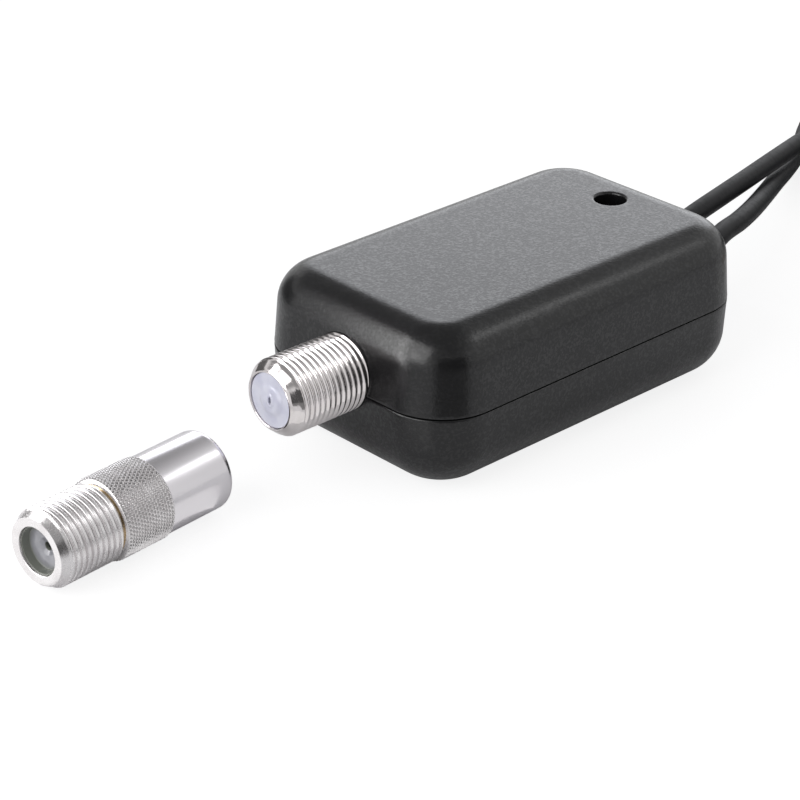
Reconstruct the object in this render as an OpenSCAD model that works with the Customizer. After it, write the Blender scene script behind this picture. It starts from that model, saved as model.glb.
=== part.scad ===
// In-line aerial amplifier with a loose F to IEC adapter.
// +X runs from the input jack end to the lead end, +Z is up.
// The origin is the centre of the housing's flat underside.

/* [Housing] */
// Length of the housing at its parting line
body_l = 54.8; // [50:0.1:70]
// Width of the housing at its parting line
body_w = 33.2; // [30:0.1:44]
// Height of the housing
body_h = 20.4; // [19:0.1:26]
// Height of the parting line, where the two shells meet
parting_z = 10.3; // [9.4:0.1:11.4]
// Radius of the upright corners at the parting line
corner_r = 7.7; // [7.2:0.1:9]
// Radius of the edge round the top face
top_fillet = 4.4; // [3:0.1:5]
// Radius of the edge round the underside
base_fillet = 5.8; // [4:0.1:6]
// Wall thickness of both shells
wall = 1.8; // [1.5:0.1:2.2]
// How far the top shell's walls lean in for each millimetre of height
top_draft = 0.076; // [0.02:0.002:0.1]
// How far the bottom shell's walls lean in for each millimetre of depth
base_draft = 0.044; // [0.02:0.002:0.1]
// Height of the lip that keys the bottom shell into the top shell
lip_h = 1.2; // [0.8:0.1:2]
// Thickness of that lip
lip_t = 0.8; // [0.6:0.1:1]
// Radius of the pegs that hold the shells together
peg_r = 1; // [0.8:0.05:1.3]
// Depth to which each peg goes into its socket
peg_depth = 4; // [3:0.1:6]

/* [Input jack] */
// Outer radius of the jack's 3/8-32 thread
jack_r = 4.71; // [4.6:0.01:4.8]
// Length of thread that stands out of the housing
jack_len = 10.9; // [9:0.1:14]
// Height of the jack's axis
jack_z = 12; // [11.4:0.1:12.6]
// Radius of the jack's front rim
jack_rim_r = 3.65; // [3.5:0.05:4.5]
// Length of the bevel behind the rim
jack_bevel = 1; // [0.3:0.1:1.4]
// Radius of the jack's insulator
jack_insulator_r = 3.4; // [3:0.05:3.9]
// Width of the block behind the wall
jack_block = 10.6; // [10.4:0.1:11.2]
// Length of that block
jack_block_len = 7; // [5:0.1:9]
// Radius of the centre contact's bore
contact_bore_r = 0.45; // [0.4:0.05:0.6]

/* [Indicator] */
// Distance of the window from the lead end of the housing
lamp_inset = 8.4; // [7.4:0.1:12.4]
// Distance of the window from the middle line
lamp_y = 0.5; // [0:0.1:1]
// Radius of the window
window_r = 2; // [1.6:0.05:2.4]
// Radius of the lamp's lens
lamp_r = 1.5; // [1.2:0.05:1.6]
// Height of the lens
lamp_h = 4.6; // [4:0.1:5]

/* [Circuit board] */
// Thickness of the board
board_t = 1.2; // [0.8:0.1:1.6]
// Gap between the board's edge and the housing's widest outline
board_margin = 4.6; // [4.2:0.1:5.4]
// Radius of the filter capacitor
can_r = 2.5; // [2:0.1:3.2]
// Height of the filter capacitor
can_h = 6.5; // [5:0.1:8]
// Radius of the choke's flanges
choke_r = 3; // [2.5:0.1:3.4]
// Height of the choke
choke_h = 4.2; // [3.4:0.1:6]

/* [Leads] */
// Radius of each lead
lead_r = 1.4; // [1.2:0.05:1.5]
// Distance of each lead's exit from the middle line
lead_y = 3.5; // [3.2:0.1:4.2]
// Radius of the stop collar on each lead behind the wall
stop_r = 2.5; // [2:0.1:2.8]
// Length of the stop collar
stop_len = 2.6; // [2:0.1:3.2]
// Turns in the output lead's coil
output_turns = 2.25; // [1.25, 2.25, 3.25]
// Turns in the power lead's coil
power_turns = 3.875; // [2.875, 3.875]
// Outer radius of the output lead's coil, at the lead's middle
output_coil_r = 16.2; // [15.5:0.1:16.8]
// Outer radius of the power lead's coil, at the lead's middle
power_coil_r = 17.6; // [17:0.1:18]
// Width of the tie round each coil
tie_w = 5; // [3:0.5:8]
// Thickness of the tie
tie_t = 0.6; // [0.4:0.1:0.8]

/* [Output plug] */
// Distance across the flats of the coupling nut
nut_flats = 11; // [10.8:0.1:11.6]
// Length of the coupling nut
nut_len = 11.2; // [9:0.1:14]
// Radius inside the nut's thread
nut_bore_r = 4.76; // [4.74:0.01:4.9]
// Radius of the plug's neck that the nut turns on
neck_r = 3.3; // [3:0.1:3.6]
// Length of the nut's collar on that neck
neck_len = 3; // [2:0.1:4]
// Radius of the moulded boot
boot_r = 6.7; // [6.7:0.1:8]
// Length of the boot's thick part
boot_len = 11; // [8:0.1:14]
// Length of the boot's tapered tail
boot_tail = 6; // [4:0.1:9]
// Radius of the centre conductor
conductor_r = 0.4; // [0.35:0.05:0.5]

/* [Power plug] */
// Width of the metal shell
shell_w = 12; // [11.9:0.1:12.1]
// Thickness of the metal shell
shell_h = 4.5; // [4.4:0.1:4.6]
// Length of shell that stands out of the grip
shell_len = 12; // [11.5:0.1:13]
// Thickness of the shell's sheet
shell_t = 0.3; // [0.25:0.05:0.4]
// Width of the moulded grip
grip_w = 15.6; // [14.5:0.1:18]
// Thickness of the moulded grip
grip_h = 7.8; // [7:0.1:9]
// Length of the moulded grip
grip_len = 20; // [16:0.5:26]
// Length of the grip's strain relief
grip_tail = 6; // [4:0.5:9]

/* [Adapter] */
// Gap between the adapter and the jack
adapter_gap = 7.4; // [5:0.1:20]
// Sideways place of the adapter's thread end
adapter_y = 0.5; // [-2:0.1:2]
// Turn of the adapter from the jack's line
adapter_turn = 5; // [0:0.5:10]
// Outer radius of the adapter's thread
adapter_r = 4.67; // [4.6:0.01:4.75]
// Length of the adapter's thread
adapter_thread = 8.5; // [7:0.1:11]
// Width of the groove behind the thread
adapter_groove = 0.6; // [0.4:0.1:1]
// Radius of the knurled grip
knurl_r = 5; // [4.9:0.05:5.6]
// Length of the knurled grip
knurl_len = 7; // [5:0.1:9]
// Outer radius of the smooth sleeve
sleeve_r = 4.8; // [4.7:0.01:4.85]
// Length of the smooth sleeve
sleeve_len = 9.3; // [8:0.1:11]
// Radius inside the sleeve
sleeve_bore_r = 4.1; // [4:0.05:4.2]
// Radius of the centre pin
pin_r = 1.17; // [1.1:0.01:1.2]
// Radius of the bore in the adapter's thread end
adapter_bore_r = 2.9; // [2.6:0.05:3.4]

/* [Clearances] */
// Clearance round a lead and round pegs
snug = 0.05; // [0.03:0.01:0.1]
// Clearance of the turning nut
running = 0.1; // [0.08:0.01:0.15]
// Clearance between parts that only pass each other
loose = 0.3; // [0.2:0.05:0.4]

/* [Hidden] */
$fn = 64;

// Colours
plastic = "#242426";
nickel = "#c9c9cc";
brass = "#c8a45a";
copper = "#b87333";
board_green = "#2f6b3f";
cream = "#e9e4d6";
lavender = "#a9a5b4";

// Steps in the quarter round of each housing edge
edge_steps = 8;
// Overshoot of a cut past the face that it opens
past = 1;

// Housing: the outline pulls in with the draft of each shell and then round its edge
half_x = body_l / 2 - corner_r;
half_y = body_w / 2 - corner_r;

// Quarter round at the top, from the wall to the roof, of a surface a skin inside the outside
function top_edge(skin) =
    let (r = top_fillet - skin, roof = body_h - skin)
    [
        for (i = [0:edge_steps])
        let (a = 90 * i / edge_steps, z = roof - r + r * sin(a))
        [corner_r - skin - top_draft * (z - parting_z) - r + r * cos(a), z]
    ];

// Quarter round at the underside, from the wall to the floor
function base_edge(skin) =
    let (r = base_fillet - skin)
    [
        for (i = [0:edge_steps])
        let (a = 90 * i / edge_steps, z = skin + r - r * sin(a))
        [corner_r - skin - base_draft * (parting_z - z) - r + r * cos(a), z]
    ];

lip_reach = corner_r - wall + lip_t;
lip_top = parting_z + lip_h;
rebate_top = lip_top + snug;

// Half sections from a corner's axis outward
top_outside = concat([[0, parting_z], [corner_r, parting_z]], top_edge(0), [[0, body_h]]);
top_inside = concat(
    [
        [0, parting_z - past],
        [lip_reach + snug, parting_z - past],
        [lip_reach + snug, rebate_top],
        [corner_r - wall - top_draft * lip_h, rebate_top]
    ],
    top_edge(wall),
    [[0, body_h - wall]]
);
base_outside = concat(
    [[0, lip_top], [lip_reach, lip_top], [lip_reach, parting_z], [corner_r, parting_z]],
    base_edge(0),
    [[0, 0]]
);
base_inside = concat(
    [[0, lip_top + past], [corner_r - wall, lip_top + past], [corner_r - wall, parting_z]],
    base_edge(wall),
    [[0, wall]]
);

function mirrored(section, half) = concat(
    [for (p = section) [half + p[0], p[1]]],
    [for (i = [len(section) - 1:-1:0]) [-half - section[i][0], section[i][1]]]
);

// A half section carried round the housing's plan: two crossed bars and four turned corners
module round_plan(section) {
    translate([-half_x, 0, 0])
        rotate([90, 0, 90])
            linear_extrude(2 * half_x)
                polygon(mirrored(section, half_y));
    translate([0, half_y, 0])
        rotate([90, 0, 0])
            linear_extrude(2 * half_y)
                polygon(mirrored(section, half_x));
    for (corner = [0:3])
        translate([half_x * (corner == 0 || corner == 3 ? 1 : -1), half_y * (corner < 2 ? 1 : -1), 0])
            rotate([0, 0, 90 * corner])
                rotate_extrude(angle = 90)
                    polygon(section);
}

// A rod of radius r along +X from a point
module rod_x(from, length, r) {
    translate(from)
        rotate([0, 90, 0])
            cylinder(h = length, r = r);
}

// Inside of the housing
inner_x = body_l / 2 - wall - loose;
roof_z = body_h - wall;

// Reach along X of the top shell's inner wall at a height
function inside_x(z) =
    let (r = top_fillet - wall, rise = max(z - roof_z + r, 0))
    half_x + corner_r - wall - top_draft * (z - parting_z) - r + sqrt(r * r - rise * rise);

board_top = jack_z - jack_block / 2;
board_z = board_top - board_t;
board_half_x = body_l / 2 - board_margin;
board_half_y = body_w / 2 - board_margin;
post_wall = 1.3;
post_r = peg_r + post_wall;
post_inset = [4.6, 1.7];
post_x = board_half_x - post_r - post_inset[0];
post_y = board_half_y - post_r - post_inset[1];
posts = [for (sx = [-1, 1], sy = [-1, 1]) [sx * post_x, sy * post_y]];

// Jack: its block stands on the board on four legs, clear of the roof and of the leaning wall
jack_face_x = -body_l / 2 - jack_len;
jack_roof_gap = 1.3;
jack_block_h = roof_z - jack_roof_gap - board_top;
jack_block_x = loose - inside_x(board_top + jack_block_h);
jack_end_x = jack_block_x + jack_block_len;
leg_r = 0.5;
leg_inset = 1.4;
leg_past = 0.8;
legs = [
    for (x = [jack_block_x + leg_inset + board_margin / 2, jack_end_x - leg_inset], side = [-1, 1])
    [x, side * (jack_block / 2 - leg_inset)]
];
contact_wall = 0.4;
contact_r = contact_bore_r + contact_wall;
contact_tail = 2;
contact_pin_x = jack_end_x + contact_tail;
jack_relief = 0.5;
jack_shank_step = 0.45;
jack_shank_r = jack_r - jack_shank_step;
jack_recess = 0.2;
jack_front_wall = 0.8;
jack_ring_r = 1.5;
contact_depth = 7;

// Lamp: it stands on its leads below the window
lamp_x = body_l / 2 - lamp_inset;
lamp_gap = 1;
lamp_top = roof_z - lamp_gap;
lamp_base = lamp_top - lamp_h;
lamp_pitch = 1.27;
lamp_lead_r = 0.25;
lamp_rim = 0.2;
lamp_rim_h = 0.8;

// Ends of the leads inside the housing
stop_x = inner_x - stop_len;
lead_past_stop = 0.6;
lead_end_x = stop_x - lead_past_stop;
core_r = 0.8;
core_x = post_x + post_r + loose + core_r;
wire_r = 0.5;
wire_pitch = 1.3;

module wall_openings() {
    rod_x([-body_l / 2 - past, 0, jack_z], jack_block_x + body_l / 2 + past, jack_r + snug);
    for (side = [-1, 1])
        rod_x([inner_x, side * lead_y, parting_z], wall + loose + past, lead_r + snug);
}

module top_shell() {
    color(plastic)
        difference() {
            union() {
                difference() {
                    round_plan(top_outside);
                    round_plan(top_inside);
                }
                for (p = posts)
                    translate([p[0], p[1], board_top])
                        cylinder(h = roof_z - board_top + wall / 2, r = post_r);
            }
            for (p = posts)
                translate([p[0], p[1], board_top - past])
                    cylinder(h = peg_depth + past + loose, r = peg_r + snug);
            translate([lamp_x, lamp_y, roof_z - past])
                cylinder(h = wall + 2 * past, r = window_r);
            wall_openings();
        }
}

module bottom_shell() {
    color(plastic)
        difference() {
            union() {
                difference() {
                    round_plan(base_outside);
                    round_plan(base_inside);
                }
                for (p = posts)
                    translate([p[0], p[1], wall / 2]) {
                        cylinder(h = board_z - wall / 2, r = post_r);
                        cylinder(h = board_top + peg_depth - wall / 2, r = peg_r);
                    }
            }
            wall_openings();
        }
}

module board_hole(x, y, r) {
    translate([x, y, board_z - past])
        cylinder(h = board_t + 2 * past, r = r + snug);
}

module circuit_board() {
    color(board_green)
        difference() {
            translate([-board_half_x, -board_half_y, board_z])
                cube([2 * board_half_x, 2 * board_half_y, board_t]);
            for (p = posts)
                board_hole(p[0], p[1], peg_r);
            for (p = legs)
                board_hole(p[0], p[1], leg_r);
            for (side = [-1, 1])
                board_hole(lamp_x + side * lamp_pitch, lamp_y, lamp_lead_r);
            board_hole(contact_pin_x, 0, contact_r);
        }
}

// Parts on the board: sizes, and places as shares of the board's half length and half width
function on_board(share) = [share[0] * board_half_x, share[1] * board_half_y];

chip = [4.5, 2.5, 1.5];
chip_at = on_board([-0.26, -0.1]);
chip_lead = [0.5, 1, 0.4];
chip_tab_w = 1.8;
capacitor = [2, 1.25, 0.9];
capacitor_spots = [
    for (share = [[-0.53, 0.33], [-0.35, 0.42], [-0.09, 0.37], [-0.09, -0.5], [0.4, -0.17]])
    on_board(share)
];
resistor = [2, 1.25, 0.5];
resistor_spots = [
    for (share = [[-0.53, -0.5], [-0.35, -0.5], [0.4, 0.08], [0.53, -0.42]])
    on_board(share)
];
can_at = on_board([0.35, 0.58]);
can_base = 1;
can_groove = 0.3;
choke_at = on_board([0.18, -0.58]);
choke_flange = 0.8;
choke_core_r = 1.4;

module amplifier_chip() {
    color(plastic)
        translate([chip_at[0], chip_at[1], board_top])
            cube(chip);
}

module chip_leads() {
    color(nickel)
        translate([chip_at[0], chip_at[1], board_top]) {
            for (i = [0:2])
                translate([chip[0] * (i + 0.5) / 3 - chip_lead[0] / 2, -chip_lead[1], 0])
                    cube(chip_lead);
            translate([(chip[0] - chip_tab_w) / 2, chip[1], 0])
                cube([chip_tab_w, chip_lead[1], chip_lead[2]]);
        }
}

module chip_capacitors() {
    color(cream)
        for (p = capacitor_spots)
            translate([p[0], p[1], board_top])
                cube(capacitor);
}

module chip_resistors() {
    color(plastic)
        for (p = resistor_spots)
            translate([p[0], p[1], board_top])
                cube(resistor);
}

module filter_capacitor() {
    color(nickel)
        translate([can_at[0], can_at[1], board_top])
            rotate_extrude()
                polygon([
                    [0, 0],
                    [can_r, 0],
                    [can_r, can_base],
                    [can_r - can_groove, can_base + can_groove],
                    [can_r, can_base + 2 * can_groove],
                    [can_r, can_h - can_groove],
                    [can_r - can_groove, can_h],
                    [0, can_h]
                ]);
}

module choke_core() {
    color(plastic)
        translate([choke_at[0], choke_at[1], board_top]) {
            cylinder(h = choke_h, r = choke_core_r);
            cylinder(h = choke_flange, r = choke_r);
            translate([0, 0, choke_h - choke_flange])
                cylinder(h = choke_flange, r = choke_r);
        }
}

module choke_winding() {
    color(copper)
        translate([choke_at[0], choke_at[1], board_top + choke_flange])
            difference() {
                cylinder(h = choke_h - 2 * choke_flange, r = choke_r - loose);
                translate([0, 0, -past])
                    cylinder(h = choke_h + 2 * past, r = choke_core_r + snug);
            }
}

module indicator_lamp() {
    color("#d8d8d8")
        translate([lamp_x, lamp_y, lamp_base]) {
            cylinder(h = lamp_rim_h, r = lamp_r + lamp_rim);
            cylinder(h = lamp_h - lamp_r, r = lamp_r);
            translate([0, 0, lamp_h - lamp_r])
                sphere(r = lamp_r);
        }
}

module lamp_leads() {
    color(nickel)
        for (side = [-1, 1])
            translate([lamp_x + side * lamp_pitch, lamp_y, board_z - leg_past])
                cylinder(h = lamp_base - board_z + leg_past, r = lamp_lead_r);
}

module jack_barrel() {
    color(nickel)
        difference() {
            union() {
                translate([jack_face_x, 0, jack_z])
                    rotate([0, 90, 0])
                        rotate_extrude()
                            polygon([
                                [0, 0],
                                [jack_rim_r, 0],
                                [jack_r, jack_bevel],
                                [jack_r, jack_len - jack_relief],
                                [jack_shank_r, jack_len - jack_relief],
                                [jack_shank_r, jack_block_x - jack_face_x],
                                [0, jack_block_x - jack_face_x]
                            ]);
                translate([jack_block_x, -jack_block / 2, board_top])
                    cube([jack_block_len, jack_block, jack_block_h]);
                for (p = legs)
                    translate([p[0], p[1], board_z - leg_past])
                        cylinder(h = board_t + leg_past + leg_inset, r = leg_r);
            }
            rod_x([jack_face_x - past, 0, jack_z], jack_end_x - jack_face_x + 2 * past, jack_insulator_r);
        }
}

module jack_insulator() {
    insulator_len = jack_end_x - jack_face_x - jack_recess;
    color(lavender)
        translate([jack_face_x + jack_recess, 0, jack_z])
            rotate([0, 90, 0])
                difference() {
                    union() {
                        cylinder(h = insulator_len, r = jack_insulator_r - snug);
                        translate([0, 0, -jack_recess])
                            cylinder(h = 2 * jack_recess, r = jack_ring_r);
                    }
                    translate([0, 0, jack_front_wall])
                        cylinder(h = insulator_len, r = contact_r + snug);
                    translate([0, 0, -past])
                        cylinder(h = 2 * past, r = contact_bore_r + snug);
                }
}

module jack_contact() {
    start_x = jack_face_x + jack_recess + jack_front_wall + snug;
    color(brass)
        difference() {
            union() {
                rod_x([start_x, 0, jack_z], contact_pin_x - start_x, contact_r);
                translate([contact_pin_x, 0, jack_z])
                    sphere(r = contact_r);
                translate([contact_pin_x, 0, board_z - leg_past])
                    cylinder(h = jack_z - board_z + leg_past, r = contact_r);
            }
            rod_x([start_x - past, 0, jack_z], contact_depth + past, contact_bore_r);
        }
}

// Collar that keeps a lead from pulling out through the end wall
module stop_collar(side) {
    color(plastic)
        difference() {
            rod_x([stop_x, side * lead_y, parting_z], stop_len, stop_r);
            rod_x([stop_x - past, side * lead_y, parting_z], stop_len + 2 * past, lead_r + snug);
        }
}

module output_stop() { stop_collar(1); }
module power_stop() { stop_collar(-1); }

// A wire from the end of a lead along the board and down onto it
module board_wire(y, r) {
    rod_x([core_x, y, parting_z], lead_end_x - core_x, r);
    translate([core_x, y, parting_z])
        sphere(r = r);
    translate([core_x, y, board_top])
        cylinder(h = parting_z - board_top, r = r);
}

module output_core() {
    color(cream)
        board_wire(lead_y, core_r);
}

module power_wires() {
    color("#a33a34")
        for (side = [-0.5, 0.5])
            board_wire(-lead_y + side * wire_pitch, wire_r);
}

// Tubes: rings of points square to a path, joined by triangles
lead_sides = 8;
coil_sides = 6;
lead_steps = 2;
rings_per_turn = 24;

function unit(v) = v / norm(v);

function heading(path, i) =
    unit(path[min(i + 1, len(path) - 1)] - path[max(i - 1, 0)]);

function ring(path, i, r, sides) =
    let (along = heading(path, i), across = unit(cross([0, 0, 1], along)), up = cross(along, across))
    [
        for (k = [0:sides - 1])
        let (a = 360 * k / sides)
        path[i] + r * cos(a) * across + r * sin(a) * up
    ];

module tube(path, r, sides) {
    last = len(path) - 1;
    points = [for (i = [0:last]) each ring(path, i, r, sides)];
    walls = [
        for (i = [0:last - 1], k = [0:sides - 1])
        let (a = i * sides + k, b = i * sides + (k + 1) % sides)
        each [[a, b + sides, b], [a, a + sides, b + sides]]
    ];
    near_cap = [for (k = [1:sides - 2]) [0, k, k + 1]];
    far_cap = [for (k = [1:sides - 2]) [last * sides, last * sides + k + 1, last * sides + k]];
    polyhedron(points = points, faces = concat(walls, near_cap, far_cap));
}

// Smooth curve through a list of points
function bend(a, b, c, d, t) =
    b + 0.5 * t * (c - a + t * (2 * a - 5 * b + 4 * c - d + t * (3 * b - a - 3 * c + d)));

function smooth(points, steps) = concat(
    [
        for (i = [0:len(points) - 2], s = [0:steps - 1])
        bend(
            points[max(i - 1, 0)], points[i], points[i + 1],
            points[min(i + 2, len(points) - 1)], s / steps
        )
    ],
    [points[len(points) - 1]]
);

// Coils: a lead spirals in on the lower layer, climbs in the half turn where it reverses, and spirals out
coil_gap = 0.5;
coil_step = 2 * lead_r + coil_gap;
coil_z = tie_t + lead_r;
coil_end_z = coil_z + coil_step;
stub = 2 * lead_r;

function climb(t) = let (c = min(max(t, 0), 1)) c * c * (3 - 2 * c);

function coil_point(centre, start, turns, outer, t) =
    let (
        r = outer - coil_step * min(t, turns - t),
        a = start - 360 * t
    )
    [
        centre[0] + r * cos(a),
        centre[1] + r * sin(a),
        coil_z + coil_step * climb(2 * (t - turns / 2) + 0.5)
    ];

function coil_heading(angle) = [sin(angle), -cos(angle), 0];

function coil_path(centre, start, turns, outer) =
    let (
        steps = ceil(turns * rings_per_turn),
        loops = [for (i = [0:steps]) coil_point(centre, start, turns, outer, turns * i / steps)],
        end = start - 360 * turns
    )
    concat(
        [loops[0] - stub * coil_heading(start)],
        loops,
        [loops[steps] + stub * coil_heading(end)]
    );

// Least gap between stretches of a coil that are more than a third of a turn apart
function least_gap(path) =
    min([
        for (i = [0:len(path) - 1], j = [i + rings_per_turn / 3:len(path) - 1])
        norm(path[i] - path[j])
    ]) - 2 * lead_r;

exit_x = body_l / 2;
output_start = 0;
power_start = 45;
output_tie_at = 135;
power_tie_at = 225;
output_centre = [exit_x + 68.6, 1];
power_centre = [exit_x + 107.6, 4];
output_loops = coil_path(output_centre, output_start, output_turns, output_coil_r);
power_loops = coil_path(power_centre, power_start, power_turns, power_coil_r);
echo(output_coil_gap = least_gap(output_loops), power_coil_gap = least_gap(power_loops));

// Routes of the leads: distance past the end wall, sideways place, height
output_points = [
    [4, lead_y, parting_z], [10.3, 4.3, 10.3], [16.5, 5.9, 10.1], [24.1, 8.2, 9.5], [32.9, 11.1, 8.6],
    [42.7, 14.6, 7.4], [53.3, 18.3, 6.1], [61.5, 20.8, 5.2], [68, 22.4, 4.6], [74.4, 21.6, 3.8],
    [80.2, 17.6, 2.9], [83.9, 11, 2.2]
];
power_points = [
    [4, -lead_y, parting_z], [8.6, -2.7, 10.3], [12.8, -1.1, 10.1], [18.1, 0.9, 9.3], [25.3, 4.4, 7.9],
    [34.3, 9.4, 5.9], [43.2, 14.5, 3.9], [51.2, 18.8, 2.4], [57.8, 22.4, 1.6], [62.9, 25.3, 1.4],
    [67.1, 27.9, 1.4], [71.6, 30.2, 1.4], [77.5, 31, 1.4], [86, 30.8, 1.4], [95.5, 29.4, 1.4],
    [105, 26.6, 1.5], [112.6, 23.4, 1.7]
];

// Each run is straight for a lead's radius where it meets its coil, so that the ends lie flat on each other
function route(points, side, loops) =
    let (meet = loops[0] - lead_r * unit(loops[1] - loops[0]))
    concat(
        [[lead_end_x, side * lead_y, parting_z], [exit_x, side * lead_y, parting_z]],
        smooth(concat([for (p = points) p + [exit_x, 0, 0]], [meet]), lead_steps),
        [loops[0]]
    );

function tail(loops, turn, plug_start, plug_end) =
    let (last = len(loops) - 1, meet = loops[last] + lead_r * unit(loops[last] - loops[last - 1]))
    concat([loops[last]], smooth([meet, turn, plug_start], lead_steps), [plug_end]);

output_path = route(output_points, 1, output_loops);
power_path = route(power_points, -1, power_loops);

function path_length(path, i = 1) =
    i == len(path) ? 0 : norm(path[i] - path[i - 1]) + path_length(path, i + 1);

echo(output_run = path_length(output_path), output_loops = path_length(output_loops));
echo(power_run = path_length(power_path), power_loops = path_length(power_loops));

module output_lead() {
    color(plastic)
        tube(output_path, lead_r, lead_sides);
}

module power_lead() {
    color(plastic)
        tube(power_path, lead_r, lead_sides);
}

module output_coil() {
    color(plastic)
        tube(output_loops, lead_r, coil_sides);
}

module power_coil() {
    color(plastic)
        tube(power_loops, lead_r, coil_sides);
}

// Flat band round all the turns of a coil
module tie(centre, angle, turns, outer) {
    inner = outer - coil_step * turns / 2;
    opening = [outer - inner + 2 * lead_r + loose, coil_step + 2 * lead_r + snug];
    color("#3a3a3d")
        translate([centre[0], centre[1], 0])
            rotate([0, 0, angle])
                translate([(outer + inner) / 2, tie_w / 2, 0])
                    rotate([90, 0, 0])
                        linear_extrude(tie_w)
                            difference() {
                                translate([-opening[0] / 2 - tie_t, 0])
                                    square([opening[0] + 2 * tie_t, opening[1] + 2 * tie_t]);
                                translate([-opening[0] / 2, tie_t])
                                    square(opening);
                            }
}

module output_tie() { tie(output_centre, output_tie_at, output_turns, output_coil_r); }
module power_tie() { tie(power_centre, power_tie_at, power_turns, power_coil_r); }

// Output plug: it lies beside its coil and points back along the housing
output_tail_len = 12;
output_tail_bend = [-5, coil_end_z + 0.3];
plug_x = output_centre[0] - output_tail_len;
plug_y = output_centre[1] - output_coil_r;
boot_front = boot_tail + boot_len;
nut_z = boot_front + running;
nut_end = nut_z + nut_len;
flange_z = nut_z + neck_len + running;
flange_t = 1.5;
flange_gap = 0.4;
post_front = flange_z + flange_t;
post_sunk = 5;
insulator_r = 0.8;
boot_bevel = 0.8;
relief_thin = 0.7;
relief_thick = 1.6;
rib_w = 1;
rib_depth = 0.5;
rib_count = 3;
nut_bevel = 0.6;
conductor_past = 1.5;

module at_output_plug() {
    translate([plug_x, plug_y, boot_r])
        rotate([0, -90, 0])
            children();
}

module output_tail() {
    color(plastic)
        tube(
            tail(
                output_loops,
                [output_centre[0] + output_tail_bend[0], plug_y, output_tail_bend[1]],
                [plug_x + stub, plug_y, boot_r],
                [plug_x, plug_y, boot_r]
            ),
            lead_r, lead_sides
        );
}

module output_boot() {
    color(plastic)
        at_output_plug()
            difference() {
                rotate_extrude()
                    polygon([
                        [0, 0],
                        [lead_r + relief_thin, 0],
                        [lead_r + relief_thick, boot_tail],
                        [boot_r - boot_bevel, boot_tail],
                        [boot_r, boot_tail + boot_bevel],
                        [boot_r, boot_front - boot_bevel],
                        [boot_r - boot_bevel, boot_front],
                        [0, boot_front]
                    ]);
                for (i = [0:rib_count - 1])
                    translate([0, 0, boot_tail + boot_len * (i + 1) / (rib_count + 1) - rib_w / 2])
                        difference() {
                            cylinder(h = rib_w, r = boot_r + past);
                            translate([0, 0, -past])
                                cylinder(h = rib_w + 2 * past, r = boot_r - rib_depth);
                        }
                translate([0, 0, boot_front - post_sunk])
                    cylinder(h = post_sunk + past, r = neck_r + snug);
            }
}

module output_post() {
    color(nickel)
        at_output_plug()
            difference() {
                union() {
                    translate([0, 0, boot_front - post_sunk])
                        cylinder(h = post_front - boot_front + post_sunk, r = neck_r);
                    translate([0, 0, flange_z])
                        cylinder(h = flange_t, r = nut_bore_r - flange_gap);
                }
                translate([0, 0, boot_front - post_sunk - past])
                    cylinder(h = post_front - boot_front + post_sunk + 2 * past, r = insulator_r + snug);
            }
}

module output_nut() {
    corner = nut_flats / 2 / cos(30);
    color(nickel)
        at_output_plug()
            difference() {
                intersection() {
                    translate([0, 0, nut_z])
                        cylinder(h = nut_len, r = corner, $fn = 6);
                    rotate_extrude()
                        polygon([
                            [0, nut_z],
                            [nut_flats / 2, nut_z],
                            [corner + snug, nut_z + nut_bevel],
                            [corner + snug, nut_end - nut_bevel],
                            [nut_flats / 2, nut_end],
                            [0, nut_end]
                        ]);
                }
                translate([0, 0, nut_z - past])
                    cylinder(h = nut_len + 2 * past, r = neck_r + running);
                translate([0, 0, nut_z + neck_len])
                    cylinder(h = nut_len, r = nut_bore_r);
            }
}

module output_insulator() {
    color(cream)
        at_output_plug()
            translate([0, 0, boot_front - post_sunk])
                difference() {
                    cylinder(h = post_front - boot_front + post_sunk, r = insulator_r);
                    translate([0, 0, -past])
                        cylinder(h = post_front + post_sunk, r = conductor_r + snug);
                }
}

module output_conductor() {
    length = nut_end + conductor_past - boot_front + post_sunk;
    color(copper)
        at_output_plug()
            translate([0, 0, boot_front - post_sunk])
                cylinder(h = length, r = conductor_r);
}

// Power plug: it lies beside its coil and points away from the housing
power_tail_len = 14;
power_tail_bend = [8, coil_end_z - 0.3];
power_plug_x = power_centre[0] + power_tail_len;
power_plug_y = power_centre[1] + power_coil_r;
grip_front = grip_tail + grip_len;
shell_sunk = 6;
shell_start = grip_front - shell_sunk;
shell_end = grip_front + shell_len;
shell_full = shell_sunk + shell_len;
grip_round = 2;
grip_shoulder = 3;
shoulder_step = 0.5;
shoulder_w = grip_w - 2 * shoulder_step;
shoulder_h = grip_h - 2 * shoulder_step;
tongue_t = 1.9;
tongue_short = 0.4;
tongue_x = shell_h / 2 - shell_t - tongue_t;
window = 2.2;
window_back = 5;
window_z = shell_end - window_back - window;
contact_w = 1.1;
contact_t = 0.2;
contact_l = 7.4;
contact_back = 1.5;
contact_spots = [-3.5, -1, 1, 3.5];
contact_x = tongue_x - contact_t;
arc_steps = 6;

function rounded(w, h, r) = [
    for (corner = [0:3], i = [0:arc_steps])
    let (
        a = 90 * (corner + i / arc_steps),
        sx = corner == 0 || corner == 3 ? 1 : -1,
        sy = corner < 2 ? 1 : -1
    )
    [sx * (w / 2 - r) + r * cos(a), sy * (h / 2 - r) + r * sin(a)]
];

module at_power_plug() {
    translate([power_plug_x, power_plug_y, grip_h / 2])
        rotate([0, 90, 0])
            children();
}

module power_tail() {
    color(plastic)
        tube(
            tail(
                power_loops,
                [power_centre[0] + power_tail_bend[0], power_plug_y, power_tail_bend[1]],
                [power_plug_x - stub, power_plug_y, grip_h / 2],
                [power_plug_x, power_plug_y, grip_h / 2]
            ),
            lead_r, lead_sides
        );
}

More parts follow.
